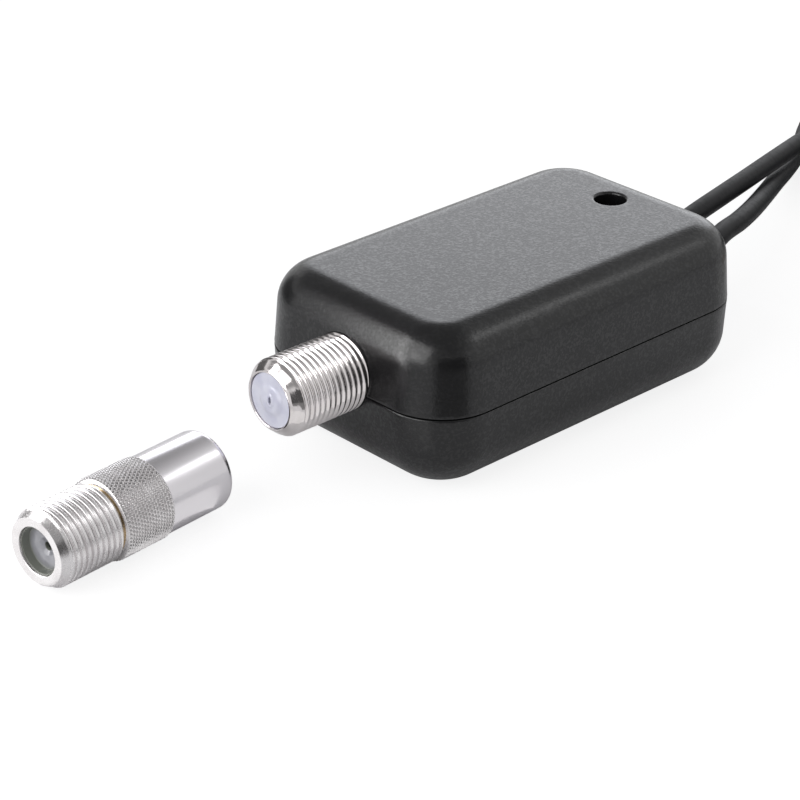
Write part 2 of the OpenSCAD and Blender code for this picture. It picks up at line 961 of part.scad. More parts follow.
module power_grip() {
    color(plastic)
        at_power_plug()
            difference() {
                union() {
                    cylinder(h = grip_tail + past, r1 = lead_r + relief_thin, r2 = lead_r + relief_thick);
                    translate([0, 0, grip_tail])
                        linear_extrude(grip_len - grip_shoulder)
                            polygon(rounded(grip_h, grip_w, grip_round));
                    translate([0, 0, grip_front - grip_shoulder])
                        linear_extrude(grip_shoulder)
                            polygon(rounded(shoulder_h, shoulder_w, grip_round - shoulder_step));
                }
                translate([-shell_h / 2 - snug, -shell_w / 2 - snug, shell_start])
                    cube([shell_h + 2 * snug, shell_w + 2 * snug, shell_sunk + past]);
            }
}

module power_shell() {
    color(nickel)
        at_power_plug()
            difference() {
                translate([-shell_h / 2, -shell_w / 2, shell_start])
                    cube([shell_h, shell_w, shell_full]);
                translate([-shell_h / 2 + shell_t, -shell_w / 2 + shell_t, shell_start - past])
                    cube([shell_h - 2 * shell_t, shell_w - 2 * shell_t, shell_full + 2 * past]);
                for (side = [-1, 1])
                    translate([-shell_h, side * shell_w / 4 - window / 2, window_z])
                        cube([2 * shell_h, window, window]);
            }
}

module power_tongue() {
    color("#f2f2f0")
        at_power_plug()
            translate([tongue_x, -shell_w / 2 + shell_t + snug, shell_start])
                cube([tongue_t, shell_w - 2 * shell_t - 2 * snug, shell_full - tongue_short]);
}

module power_contacts() {
    color(brass)
        at_power_plug()
            for (y = contact_spots)
                translate([contact_x, y - contact_w / 2, shell_end - contact_back - contact_l])
                    cube([contact_t, contact_w, contact_l]);
}

// Adapter: it lies on its knurled grip in line with the jack
groove_depth = 0.5;
knurl_bevel = 0.3;
knurl_z = adapter_thread + adapter_groove;
sleeve_z = knurl_z + knurl_len;
adapter_l = sleeve_z + sleeve_len;
neck_sunk = 3;
neck_wall = 0.3;
seat_z = sleeve_z - neck_sunk;
adapter_rim_step = 0.6;
adapter_rim_r = adapter_r - adapter_rim_step;
adapter_bevel = 0.7;
adapter_recess = 1.3;
adapter_socket_z = adapter_recess + jack_front_wall + snug;
contact_floor = 1;
adapter_step_z = adapter_socket_z + contact_depth + contact_floor;
sleeve_round = 0.6;
pin_past = 0.5;
sleeve_floor = 1;
adapter_x = jack_face_x - adapter_gap - adapter_l * cos(adapter_turn);

module at_adapter() {
    translate([adapter_x, adapter_y, knurl_r])
        rotate([0, 0, adapter_turn])
            rotate([0, 90, 0])
                children();
}

module adapter_body() {
    color(nickel)
        at_adapter()
            rotate_extrude()
                polygon([
                    [adapter_bore_r, 0],
                    [adapter_rim_r, 0],
                    [adapter_r, adapter_bevel],
                    [adapter_r, adapter_thread],
                    [adapter_r - groove_depth, adapter_thread],
                    [adapter_r - groove_depth, knurl_z],
                    [knurl_r - knurl_bevel, knurl_z],
                    [knurl_r, knurl_z + knurl_bevel],
                    [knurl_r, sleeve_z - knurl_bevel],
                    [knurl_r - knurl_bevel, sleeve_z],
                    [sleeve_bore_r + neck_wall + snug, sleeve_z],
                    [sleeve_bore_r + neck_wall + snug, seat_z],
                    [adapter_bore_r, seat_z]
                ]);
}

module adapter_insulator() {
    color(cream)
        at_adapter()
            rotate_extrude()
                polygon([
                    [contact_bore_r + snug, adapter_recess],
                    [adapter_bore_r - snug, adapter_recess],
                    [adapter_bore_r - snug, seat_z],
                    [pin_r + snug, seat_z],
                    [pin_r + snug, adapter_step_z],
                    [contact_r + snug, adapter_step_z],
                    [contact_r + snug, adapter_recess + jack_front_wall],
                    [contact_bore_r + snug, adapter_recess + jack_front_wall]
                ]);
}

module adapter_conductor() {
    color(brass)
        at_adapter()
            difference() {
                rotate_extrude()
                    polygon([
                        [0, adapter_socket_z],
                        [contact_r, adapter_socket_z],
                        [contact_r, adapter_step_z + snug],
                        [pin_r, adapter_step_z + snug],
                        [pin_r, adapter_l + pin_past - pin_r / 2],
                        [pin_r / 2, adapter_l + pin_past],
                        [0, adapter_l + pin_past]
                    ]);
                translate([0, 0, adapter_socket_z - past])
                    cylinder(h = contact_depth + past, r = contact_bore_r);
            }
}

module adapter_sleeve() {
    color(nickel)
        at_adapter()
            rotate_extrude()
                polygon(concat(
                    [
                        [sleeve_bore_r, seat_z],
                        [sleeve_bore_r + neck_wall, seat_z],
                        [sleeve_bore_r + neck_wall, sleeve_z],
                        [sleeve_r, sleeve_z]
                    ],
                    [
                        for (i = [0:arc_steps])
                        let (a = 90 * i / arc_steps)
                        [
                            sleeve_r - sleeve_round + sleeve_round * cos(a),
                            adapter_l - sleeve_round + sleeve_round * sin(a)
                        ]
                    ],
                    [[sleeve_bore_r, adapter_l]]
                ));
}

module sleeve_insulator() {
    color(cream)
        at_adapter()
            translate([0, 0, seat_z])
                difference() {
                    cylinder(h = neck_sunk + sleeve_floor, r = sleeve_bore_r - snug);
                    translate([0, 0, -past])
                        cylinder(h = neck_sunk + sleeve_floor + 2 * past, r = pin_r + snug);
                }
}

top_shell();
bottom_shell();
circuit_board();
amplifier_chip();
chip_leads();
chip_capacitors();
chip_resistors();
filter_capacitor();
choke_core();
choke_winding();
indicator_lamp();
lamp_leads();
jack_barrel();
jack_insulator();
jack_contact();
output_stop();
power_stop();
output_core();
power_wires();
output_lead();
output_coil();
output_tie();
output_tail();
output_boot();
output_post();
output_nut();
output_insulator();
output_conductor();
power_lead();
power_coil();
power_tie();
power_tail();
power_grip();
power_shell();
power_tongue();
power_contacts();
adapter_body();
adapter_insulator();
adapter_conductor();
adapter_sleeve();
sleeve_insulator();
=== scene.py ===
"""Looks of an in-line aerial amplifier: housing, input jack, two coiled leads with plugs, and a loose adapter.

Lengths in the classes are millimetres in the part's own frame; meshes are written in metres.
"""

import logging
import math
from dataclasses import dataclass, field
from enum import Enum
from typing import Sequence

import bmesh
import bpy
import numpy as np
from mathutils import Matrix


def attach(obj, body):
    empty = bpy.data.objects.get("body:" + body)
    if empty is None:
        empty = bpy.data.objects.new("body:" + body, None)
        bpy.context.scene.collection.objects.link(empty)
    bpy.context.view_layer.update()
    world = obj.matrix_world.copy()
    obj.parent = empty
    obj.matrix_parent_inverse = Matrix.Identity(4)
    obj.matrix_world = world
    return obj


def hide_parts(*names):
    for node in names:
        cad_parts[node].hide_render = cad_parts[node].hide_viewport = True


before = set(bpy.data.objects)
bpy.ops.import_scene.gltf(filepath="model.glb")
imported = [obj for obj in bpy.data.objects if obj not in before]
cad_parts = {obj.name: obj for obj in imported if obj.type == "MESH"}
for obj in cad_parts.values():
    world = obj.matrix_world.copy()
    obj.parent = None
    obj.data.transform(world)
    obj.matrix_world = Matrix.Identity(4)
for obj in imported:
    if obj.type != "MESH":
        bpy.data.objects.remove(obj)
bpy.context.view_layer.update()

log = logging.getLogger("amplifier")
MM = 0.001
TURN = 2 * math.pi
QUARTER = TURN / 4
WHITE = (1.0, 1.0, 1.0, 1.0)
Array = np.ndarray
Colour = tuple[float, float, float]
Point = tuple[float, float, float]
Rows = Sequence[Sequence[float]]
Socket = bpy.types.NodeSocket
Inputs = dict[str | int, object]


class Body(Enum):
    """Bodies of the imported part."""

    AMPLIFIER = "amplifier"
    NUT = "coupling_nut"
    ADAPTER = "adapter"


class Slot(Enum):
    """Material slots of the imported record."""

    HOUSING = "housing_plastic"
    JACK = "jack_nickel"
    JACK_INSULATION = "jack_insulation"
    INSULATION = "insulation"
    JACKET = "lead_jacket"
    TIE = "tie_strap"
    MOULDING = "plug_moulding"
    PLUG = "plug_nickel"
    SHELL = "shell_steel"
    ADAPTER = "adapter_nickel"


class Pattern(Enum):
    """Extra relief or colour that a finish has besides its grain."""

    PLAIN = "plain"
    WOVEN = "woven"
    WOUND = "wound"
    TRACKS = "tracks"
    # Extra colour mixed in by a point attribute: worn plating on the adapter's body, painted shade in the adapter's
    # disc
    WORN_AND_SHADED = "plated"


# Shading

# Scale at which Blender's wave texture has one band in a metre
WAVE_SCALE = TURN / 20
# Directions of the bands that make up a pattern
BANDS = {Pattern.WOUND: ("Z",), Pattern.WOVEN: ("DIAGONAL", "Z")}
# Height of a pattern, where the grain's own is 1
PATTERN_LIFT = 2.0
# Where the edges of board tracks start and end, as shares of a cell
TRACK_EDGE = (0.08, 0.14)
# Roughness of a plain coat, and of the coat on picked grains
COAT_GLOSS, SPARKLE_GLOSS = 0.12, 0.2


@dataclass
class Tree:
    """Adds the nodes of one node tree and links them."""

    nodes: bpy.types.Nodes
    links: bpy.types.NodeLinks

    @classmethod
    def of(cls, tree: bpy.types.NodeTree) -> "Tree":
        """The helper for an existing node tree, emptied first."""
        tree.nodes.clear()
        return cls(tree.nodes, tree.links)

    def add(self, kind: str, inputs: Inputs | None = None, **settings: object) -> bpy.types.NodeOutputs:
        """Adds a node.

        Args:
            kind: Blender's name for the node type.
            inputs: for each input, a socket to link to it or a plain value.
            settings: properties of the node, set before its inputs.

        Returns:
            The new node's outputs.
        """
        node = self.nodes.new(kind)
        for key, value in settings.items():
            setattr(node, key, value)
        for key, value in (inputs or {}).items():
            if isinstance(value, Socket):
                self.links.new(value, node.inputs[key])
            else:
                node.inputs[key].default_value = value
        return node.outputs

    def ramp(self, value: Socket, low: float, high: float, ends: tuple[object, object] = (0.0, 1.0)) -> Socket:
        """A soft step between two ends, each a value or a socket, as a value goes from low to high."""
        inputs = {"Value": value, "From Min": low, "From Max": high, "To Min": ends[0], "To Max": ends[1]}
        return self.add("ShaderNodeMapRange", inputs, interpolation_type="SMOOTHSTEP")["Result"]

    def mix(self, kind: str, share: Socket, a: object, b: object) -> Socket:
        """A blend of two values or sockets, FLOAT or RGBA, that is b where the share is 1."""
        return self.add("ShaderNodeMix", {"Factor": share, "A": a, "B": b}, data_type=kind)["Result"]

    def math(self, operation: str, *values: object) -> Socket:
        """The result of one operation on values or sockets."""
        return self.add("ShaderNodeMath", dict(enumerate(values)), operation=operation)[0]


def new_group(
    name: str, inputs: dict[str, str], outputs: dict[str, str]
) -> tuple[bpy.types.NodeTree, Tree, bpy.types.NodeOutputs]:
    """Starts a shader node group.

    Args:
        name: name of the group.
        inputs: types of the sockets that go in, by name.
        outputs: types of the sockets that come out, by name.

    Returns:
        The group, its helper and the sockets that go in.
    """
    group = bpy.data.node_groups.new(name, "ShaderNodeTree")
    for way, sockets in (("INPUT", inputs), ("OUTPUT", outputs)):
        for label, kind in sockets.items():
            group.interface.new_socket(label, in_out=way, socket_type="NodeSocket" + kind)
    tree = Tree.of(group)
    return group, tree, tree.add("NodeGroupInput")


def new_material(name: str) -> tuple[bpy.types.Material, Tree]:
    """Starts a material.

    Args:
        name: name of the material.

    Returns:
        The material and the helper for its empty node tree.
    """
    material = bpy.data.materials.new(name)
    material.use_nodes = True
    return material, Tree.of(material.node_tree)


@dataclass
class Effects:
    """Shader node groups that the finishes share, each built once."""

    grain: bpy.types.NodeTree = field(init=False)
    drift: bpy.types.NodeTree = field(init=False)

    def __post_init__(self) -> None:
        """Builds both groups."""
        self.grain = self.build_grain()
        self.drift = self.build_drift()

    @staticmethod
    def build_grain() -> bpy.types.NodeTree:
        """Fine relief: noise with a share of round pits.

        Returns:
            A group that gives Height and a Speckle mask that picks single grains.
        """
        group, tree, given = new_group(
            "fine_grain",
            {"Vector": "Vector", "Scale": "Float", "Pits": "Float"},
            {"Height": "Float", "Speckle": "Float"},
        )
        place = {"Vector": given["Vector"], "Scale": given["Scale"]}
        noise = tree.add("ShaderNodeTexNoise", {**place, "Detail": 3.0, "Roughness": 0.6})
        pits = tree.add("ShaderNodeTexVoronoi", {**place, "Randomness": 1.0}, feature="SMOOTH_F1")
        height = tree.mix("FLOAT", given["Pits"], noise["Fac"], pits["Distance"])
        speckle = tree.ramp(pits["Color"], 0.4, 0.65)
        tree.add("NodeGroupOutput", {"Height": height, "Speckle": speckle})
        return group

    @staticmethod
    def build_drift() -> bpy.types.NodeTree:
        """Slow change of colour and gloss over a surface, with the picked grains a little duller.

        Returns:
            A group that gives Tone and Roughness.
        """
        group, tree, given = new_group(
            "tone_drift",
            {
                "Vector": "Vector", "Scale": "Float", "Tone A": "Color", "Tone B": "Color",
                "Gloss A": "Float", "Gloss B": "Float", "Speckle": "Float",
            },
            {"Tone": "Color", "Roughness": "Float"},
        )
        place = {"Vector": given["Vector"], "Scale": given["Scale"]}
        cloud = tree.add("ShaderNodeTexNoise", {**place, "Detail": 2.0, "Roughness": 0.5})
        spread = tree.ramp(cloud["Fac"], 0.3, 0.7)
        tone = tree.mix("RGBA", spread, given["Tone A"], given["Tone B"])
        duller = tree.math("MULTIPLY_ADD", spread, 0.5, tree.math("MULTIPLY", given["Speckle"], 0.5))
        gloss = tree.mix("FLOAT", duller, given["Gloss A"], given["Gloss B"])
        tree.add("NodeGroupOutput", {"Tone": tone, "Roughness": gloss})
        return group


EFFECTS = Effects()


@dataclass(frozen=True)
class Finish:
    """One material: two tones that drift into each other, a range of gloss, and a grain.

    Fields:
        tone, other: the two base colours, linear.
        gloss: lowest and highest roughness.
        grain, relief: size and depth of the grain in millimetres.
        pits: share of round pits in the grain.
        patch: size of the drift from one tone to the other in millimetres.
        stretch: how much longer the grain is along the piece's axis.
        turn: turn of that axis about Z in degrees.
        sparkle: added clear coat on the picked grains.
        pattern_size: width of one band or cell of the pattern in millimetres.
        extra: second colour of a pattern, where it has one.
    """

    name: str
    tone: Colour
    other: Colour
    gloss: tuple[float, float]
    metallic: float = 0.0
    grain: float = 0.3
    relief: float = 0.01
    pits: float = 0.2
    patch: float = 9.0
    stretch: float = 1.0
    turn: float = 0.0
    specular: float = 0.5
    coat: float = 0.0
    sparkle: float = 0.0
    pattern: Pattern = Pattern.PLAIN
    pattern_size: float = 1.0
    extra: Colour = (0.5, 0.5, 0.5)

    def material(self) -> bpy.types.Material:
        """The finish as a Blender material, made at its first use."""
        return bpy.data.materials.get(self.name) or self.build()

    def build(self) -> bpy.types.Material:
        """Joins the shared effects to a shader.

        Returns:
            The new material.
        """
        material, tree = new_material(self.name)
        vector = tree.add(
            "ShaderNodeMapping",
            {
                "Vector": tree.add("ShaderNodeTexCoord")["Object"], "Rotation": (0, 0, -math.radians(self.turn)),
                "Scale": (1 / self.stretch, 1, 1),
            },
        )["Vector"]
        grain = tree.add(
            "ShaderNodeGroup", {"Vector": vector, "Scale": 1 / (self.grain * MM), "Pits": self.pits},
            node_tree=EFFECTS.grain,
        )
        drift = tree.add(
            "ShaderNodeGroup",
            {
                "Vector": vector, "Scale": 1 / (self.patch * MM), "Speckle": grain["Speckle"],
                "Tone A": (*self.tone, 1), "Tone B": (*self.other, 1),
                "Gloss A": self.gloss[0], "Gloss B": self.gloss[1],
            },
            node_tree=EFFECTS.drift,
        )
        coat: float | Socket = self.coat
        if self.sparkle:
            coat = tree.math("MULTIPLY_ADD", grain["Speckle"], self.sparkle, self.coat)
        tone, height = self.add_pattern(tree, vector, drift["Tone"], grain["Height"])
        bump = tree.add("ShaderNodeBump", {"Strength": 1.0, "Distance": self.relief * MM, "Height": height})
        shader = tree.add(
            "ShaderNodeBsdfPrincipled",
            {
                "Base Color": tone, "Roughness": drift["Roughness"], "Normal": bump["Normal"], "IOR": 1.5,
                "Metallic": self.metallic, "Specular IOR Level": self.specular, "Coat Weight": coat,
                "Coat Roughness": SPARKLE_GLOSS if self.sparkle else COAT_GLOSS,
            },
        )
        tree.add("ShaderNodeOutputMaterial", {"Surface": shader["BSDF"]})
        return material

    def add_pattern(self, tree: Tree, vector: Socket, tone: Socket, height: Socket) -> tuple[Socket, Socket]:
        """Adds the finish's own pattern: its high parts are lifted and its low parts have the extra colour.

        Args:
            tree: helper of the material's nodes.
            vector: the turned coordinates.
            tone: colour so far.
            height: relief so far.

        Returns:
            The colour and the relief with the pattern.
        """
        extra = (*self.extra, 1)
        if self.pattern is Pattern.PLAIN:
            return tone, height
        if self.pattern is Pattern.WORN_AND_SHADED:
            # The attribute holds real plating wear on the adapter's body and painted shade on the adapter's disc
            wear_and_shade_share = tree.add("ShaderNodeAttribute", attribute_name="wear_and_shade")["Fac"]
            return tree.mix("RGBA", wear_and_shade_share, tone, extra), height
        # On the woven strap and the wound winding the darker extra colour in the low parts is painted shade in the
        # grooves; on the board's tracks it is the tracks' own colour
        mask = self.mask(tree, vector)
        return tree.mix("RGBA", mask, extra, tone), tree.math("MULTIPLY_ADD", mask, PATTERN_LIFT, height)

    def mask(self, tree: Tree, vector: Socket) -> Socket:
        """Finds the high parts of a wound, woven or tracked pattern.

        Args:
            tree: helper of the material's nodes.
            vector: the turned coordinates.

        Returns:
            A mask that is 1 on them.
        """
        per_metre = 1 / (self.pattern_size * MM)
        if self.pattern is Pattern.TRACKS:
            place = {"Vector": vector, "Scale": per_metre, "Randomness": 0.7}
            cells = tree.add("ShaderNodeTexVoronoi", place, feature="DISTANCE_TO_EDGE", distance="EUCLIDEAN")
            edge = {"Value": cells["Distance"], "From Min": TRACK_EDGE[0], "From Max": TRACK_EDGE[1]}
            return tree.add("ShaderNodeMapRange", edge)["Result"]
        place = {"Vector": vector, "Scale": per_metre * WAVE_SCALE}
        waves = [
            tree.add("ShaderNodeTexWave", place, bands_direction=way, wave_profile="SIN")["Fac"]
            for way in BANDS[self.pattern]
        ]
        return waves[0] if len(waves) == 1 else tree.math("MAXIMUM", *waves)


HOUSING_BLACK = Finish(
    "housing_black", (0.0058, 0.0058, 0.0064), (0.0074, 0.0074, 0.0081), (0.2, 0.24), grain=0.25, relief=0.028,
    pits=0.25, patch=14.0, sparkle=0.28,
)
JACK_NICKEL = Finish(
    "jack_bright_nickel", (0.84, 0.80, 0.80), (0.76, 0.72, 0.715), (0.08, 0.16), metallic=1.0, grain=0.4,
    relief=0.002, patch=2.5, stretch=0.4,
)
ADAPTER_NICKEL = Finish(
    "adapter_satin_nickel", (0.84, 0.82, 0.825), (0.76, 0.735, 0.74), (0.22, 0.34), metallic=1.0, grain=0.22,
    relief=0.004, patch=2.0, turn=5.0, pattern=Pattern.WORN_AND_SHADED, extra=(0.50, 0.34, 0.14),
)
SLEEVE_NICKEL = Finish(
    "sleeve_bright_nickel", (0.84, 0.815, 0.845), (0.78, 0.755, 0.785), (0.18, 0.26), metallic=1.0, grain=0.5,
    relief=0.002, patch=4.0, turn=5.0, stretch=6.0,
)
PLUG_NICKEL = Finish(
    "plug_nickel", (0.78, 0.77, 0.75), (0.70, 0.69, 0.67), (0.18, 0.3), metallic=1.0, relief=0.003, patch=3.0,
)
SHELL_STEEL = Finish(
    "shell_steel", (0.72, 0.72, 0.73), (0.64, 0.64, 0.65), (0.22, 0.32), metallic=1.0, grain=0.5, relief=0.002,
    patch=4.0, stretch=8.0,
)
JACK_DISC = Finish(
    "jack_disc_lavender", (0.56, 0.565, 0.69), (0.67, 0.675, 0.775), (0.16, 0.24), grain=0.5, relief=0.004,
    patch=2.2, coat=0.4,
)
# The disc's extra colour is painted shade: a darker grey-green up the bore and in the pin's hole
ADAPTER_DISC = Finish(
    "adapter_disc_grey", (0.235, 0.235, 0.26), (0.33, 0.33, 0.36), (0.16, 0.26), grain=0.4, relief=0.004, patch=1.8,
    coat=0.5, pattern=Pattern.WORN_AND_SHADED, extra=(0.17, 0.18, 0.155),
)
CREAM_INSULATION = Finish(
    "cream_insulation", (0.72, 0.70, 0.64), (0.78, 0.76, 0.70), (0.4, 0.5), relief=0.004, patch=3.0,
)
LEAD_JACKET = Finish(
    "lead_satin_black", (0.013, 0.013, 0.014), (0.018, 0.018, 0.0195), (0.46, 0.56), grain=0.5, relief=0.004,
    patch=10.0, pits=0.1, specular=0.14,
)
# The darker extra colour in the weave's low parts is painted shade
TIE_STRAP = Finish(
    "tie_woven_black", (0.022, 0.022, 0.024), (0.03, 0.03, 0.032), (0.6, 0.75), grain=0.2, relief=0.03, patch=5.0,
    pattern=Pattern.WOVEN, pattern_size=0.5, extra=(0.010, 0.010, 0.011),
)
PLUG_MOULDING = Finish(
    "plug_matt_black", (0.014, 0.014, 0.015), (0.02, 0.02, 0.0215), (0.42, 0.55), grain=0.25, relief=0.012, patch=8.0,
)
TONGUE_WHITE = Finish("tongue_white", (0.70, 0.70, 0.68), (0.76, 0.76, 0.74), (0.4, 0.5), relief=0.004, patch=4.0)
CONTACT_GOLD = Finish(
    "contact_gold", (0.83, 0.62, 0.27), (0.74, 0.54, 0.22), (0.15, 0.28), metallic=1.0, grain=0.2, relief=0.002,
    patch=1.5,
)
TINNED = Finish(
    "tinned_lead", (0.66, 0.66, 0.66), (0.55, 0.55, 0.56), (0.25, 0.4), metallic=1.0, grain=0.2, relief=0.004,
    patch=1.2,
)
COPPER = Finish(
    "bare_copper", (0.72, 0.34, 0.19), (0.58, 0.26, 0.15), (0.22, 0.35), metallic=1.0, grain=0.2, relief=0.003,
    patch=1.5,
)
# The darker extra colour between the turns is painted shade
WINDING = Finish(
    "enamelled_winding", (0.55, 0.20, 0.07), (0.45, 0.15, 0.05), (0.2, 0.32), metallic=0.6, grain=0.2, patch=2.0,
    pattern=Pattern.WOUND, pattern_size=0.3, extra=(0.12, 0.04, 0.015),
)
BOARD = Finish(
    "board_green", (0.02, 0.12, 0.045), (0.03, 0.15, 0.06), (0.3, 0.42), grain=0.4, relief=0.006, patch=6.0,
    pattern=Pattern.TRACKS, pattern_size=3.2, extra=(0.06, 0.22, 0.10),
)
CHIP_RESIN = Finish(
    "chip_resin", (0.014, 0.014, 0.014), (0.022, 0.022, 0.022), (0.5, 0.65), grain=0.15, patch=2.0,
)
CHIP_CERAMIC = Finish(
    "chip_ceramic", (0.42, 0.30, 0.18), (0.50, 0.37, 0.23), (0.35, 0.5), grain=0.2, relief=0.004, patch=1.5,
)
CAN_METAL = Finish(
    "can_metal", (0.62, 0.62, 0.64), (0.55, 0.55, 0.57), (0.25, 0.35), metallic=1.0, relief=0.002, patch=3.0,
)
WIRE_RED = Finish("wire_red", (0.42, 0.03, 0.025), (0.50, 0.045, 0.03), (0.35, 0.45), relief=0.004, patch=3.0)
LAMP_LENS = Finish(
    "lamp_lens", (0.05, 0.05, 0.055), (0.07, 0.07, 0.075), (0.12, 0.2), grain=0.6, relief=0.002, patch=2.0, coat=0.5,
)

# Finishes of the solids that show as they are
CAD_FINISHES: dict[str, Finish] = {
    "circuit_board": BOARD, "amplifier_chip": CHIP_RESIN, "chip_leads": TINNED, "chip_capacitors": CHIP_CERAMIC,
    "chip_resistors": CHIP_RESIN, "filter_capacitor": CAN_METAL, "choke_core": CHIP_RESIN, "choke_winding": WINDING,
    "indicator_lamp": LAMP_LENS, "lamp_leads": TINNED, "jack_contact": TINNED, "output_stop": PLUG_MOULDING,
    "power_stop": PLUG_MOULDING, "output_core": CREAM_INSULATION, "power_wires": WIRE_RED, "output_post": PLUG_NICKEL,
    "output_insulator": CREAM_INSULATION, "output_conductor": COPPER, "power_tongue": TONGUE_WHITE,
    "power_contacts": CONTACT_GOLD, "adapter_conductor": TINNED, "sleeve_insulator": CREAM_INSULATION,
}


# Surfaces


@dataclass(frozen=True)
class Axis:
    """A place and two directions that a surface is laid out from."""

    origin: Point
    along: Point
    across: Point

    @classmethod
    def level(cls, origin: Point, turn: float = 0.0) -> "Axis":
        """A level axis turned about Z by degrees from +X, with its side to the left."""
        c, s = math.cos(math.radians(turn)), math.sin(math.radians(turn))
        return cls(origin, (c, s, 0), (-s, c, 0))

    @classmethod
    def upright(cls, origin: Point) -> "Axis":
        """An axis along +Z with its side along +X."""
        return cls(origin, (0, 0, 1), (1, 0, 0))

    def place(self, along: Array | float, across: Array | float, up: Array | float) -> Array:
        """Points at origin + along * axis + across * side + up * (axis x side), for values that broadcast."""
        ways = np.array([self.along, self.across, np.cross(self.along, self.across)], float)
        return self.origin + sum(d[..., None] * way for d, way in zip(np.broadcast_arrays(along, across, up), ways))


def soften(corners: Rows, closed: bool = False, steps: int = 5) -> Array:
    """A polyline whose corners are rounded: each corner C becomes the curve (1-t)^2 A + 2t(1-t) C + t^2 B,
    where A and B lie the corner's radius away from it on its two sides.

    Args:
        corners: rows of two coordinates and a radius.
        closed: whether the last corner joins the first.
        steps: pieces in each round.

    Returns:
        Rows of two coordinates, with no two alike in a row.
    """
    rows = np.array(corners, float)
    point, radius = rows[:, :2], rows[:, 2:3].copy()
    if not closed:
        radius[[0, -1]] = 0
    before, after = np.roll(point, 1, 0) - point, np.roll(point, -1, 0) - point
    start = point + radius * before / np.linalg.norm(before, axis=1, keepdims=True)
    end = point + radius * after / np.linalg.norm(after, axis=1, keepdims=True)
    t = np.linspace(0, 1, steps + 1)[None, :, None]
    curve = (1 - t) ** 2 * start[:, None] + 2 * t * (1 - t) * point[:, None] + t**2 * end[:, None]
    curve = curve.reshape(-1, 2)
    apart = np.linalg.norm(curve - np.roll(curve, 1, 0), axis=1) > 1e-6
    return curve[apart]


def grooves(
    middles: Sequence[float], halves: tuple[float, float], depth: float, soft: float, radius: float, taper: float = 0.0
) -> list[list[float]]:
    """Corners of grooves, with half widths at top and floor, in a line of radius radius + taper * along."""
    steps = ((-halves[0], 0.0), (-halves[1], depth), (halves[1], depth), (halves[0], 0.0))
    return [[m + step, radius + taper * (m + step) - dip, soft] for m in middles for step, dip in steps]


def angles(segments: int) -> Array:
    """The angles of a full turn in radians, one to a row."""
    return (np.arange(segments) / segments * TURN)[:, None]


def revolve(axis: Axis, along: Array, radius: Array, segments: int) -> Array:
    """Points at (along, radius cos a, radius sin a) on an axis for a full turn of a, by angle and ring."""
    along, radius, angle = np.broadcast_arrays(along, radius, angles(segments))
    return axis.place(along, radius * np.cos(angle), radius * np.sin(angle))


@dataclass(frozen=True)
class RoundedPlan:
    """A rounded rectangle in a fixed number of steps, so that rings of any size join each other.

    A point is (kx (half_x - r) + nx r, ky (half_y - r) + ny r): k runs along the straight sides and n is the
    outward direction, which turns only in the corners.
    """

    side_x: int = 48
    side_y: int = 26
    corner: int = 18

    def lines(self) -> tuple[Array, Array]:
        """The k and n of every step.

        Returns:
            Two arrays of rows of two.
        """
        k, n = [], []
        corners = np.array([[1, 1], [-1, 1], [-1, -1], [1, -1]], float)
        for quarter, (corner, following) in enumerate(zip(corners, np.roll(corners, -1, 0))):
            a = (quarter + np.linspace(0, 1, self.corner + 1)) * QUARTER
            count = self.side_x if quarter % 2 == 0 else self.side_y
            t = np.linspace(0, 1, count + 1)[1:-1, None]
            k += [np.tile(corner, (len(a), 1)), corner + (following - corner) * t]
            turn = np.column_stack([np.cos(a), np.sin(a)])
            n += [turn, np.tile(turn[-1], (len(t), 1))]
        return np.vstack(k), np.vstack(n)

    def rings(self, half_x: Array, half_y: Array, radius: Array | float) -> Array:
        """Outlines of several sizes.

        Args:
            half_x: half lengths.
            half_y: half widths.
            radius: corner radii.

        Returns:
            An array by step, ring and coordinate.
        """
        k, n = self.lines()
        half = np.stack(np.broadcast_arrays(half_x, half_y), -1).astype(float)
        r = np.broadcast_to(radius, half.shape[:1])[None, :, None]
        return k[:, None] * (half[None] - r) + n[:, None] * r


def quads(shape: tuple[int, int], faces: tuple[int, int]) -> Array:
    """Corner indices of a grid's four-sided faces.

    Args:
        shape: the grid's points in both directions.
        faces: its faces in both directions, as many as its points where it is round.

    Returns:
        Rows of four indices.
    """
    (rows, columns), (i, j) = shape, np.indices(faces).reshape(2, -1)
    right, up = (i + 1) % rows, (j + 1) % columns
    return np.column_stack([i * columns + j, right * columns + j, right * columns + up, i * columns + up])


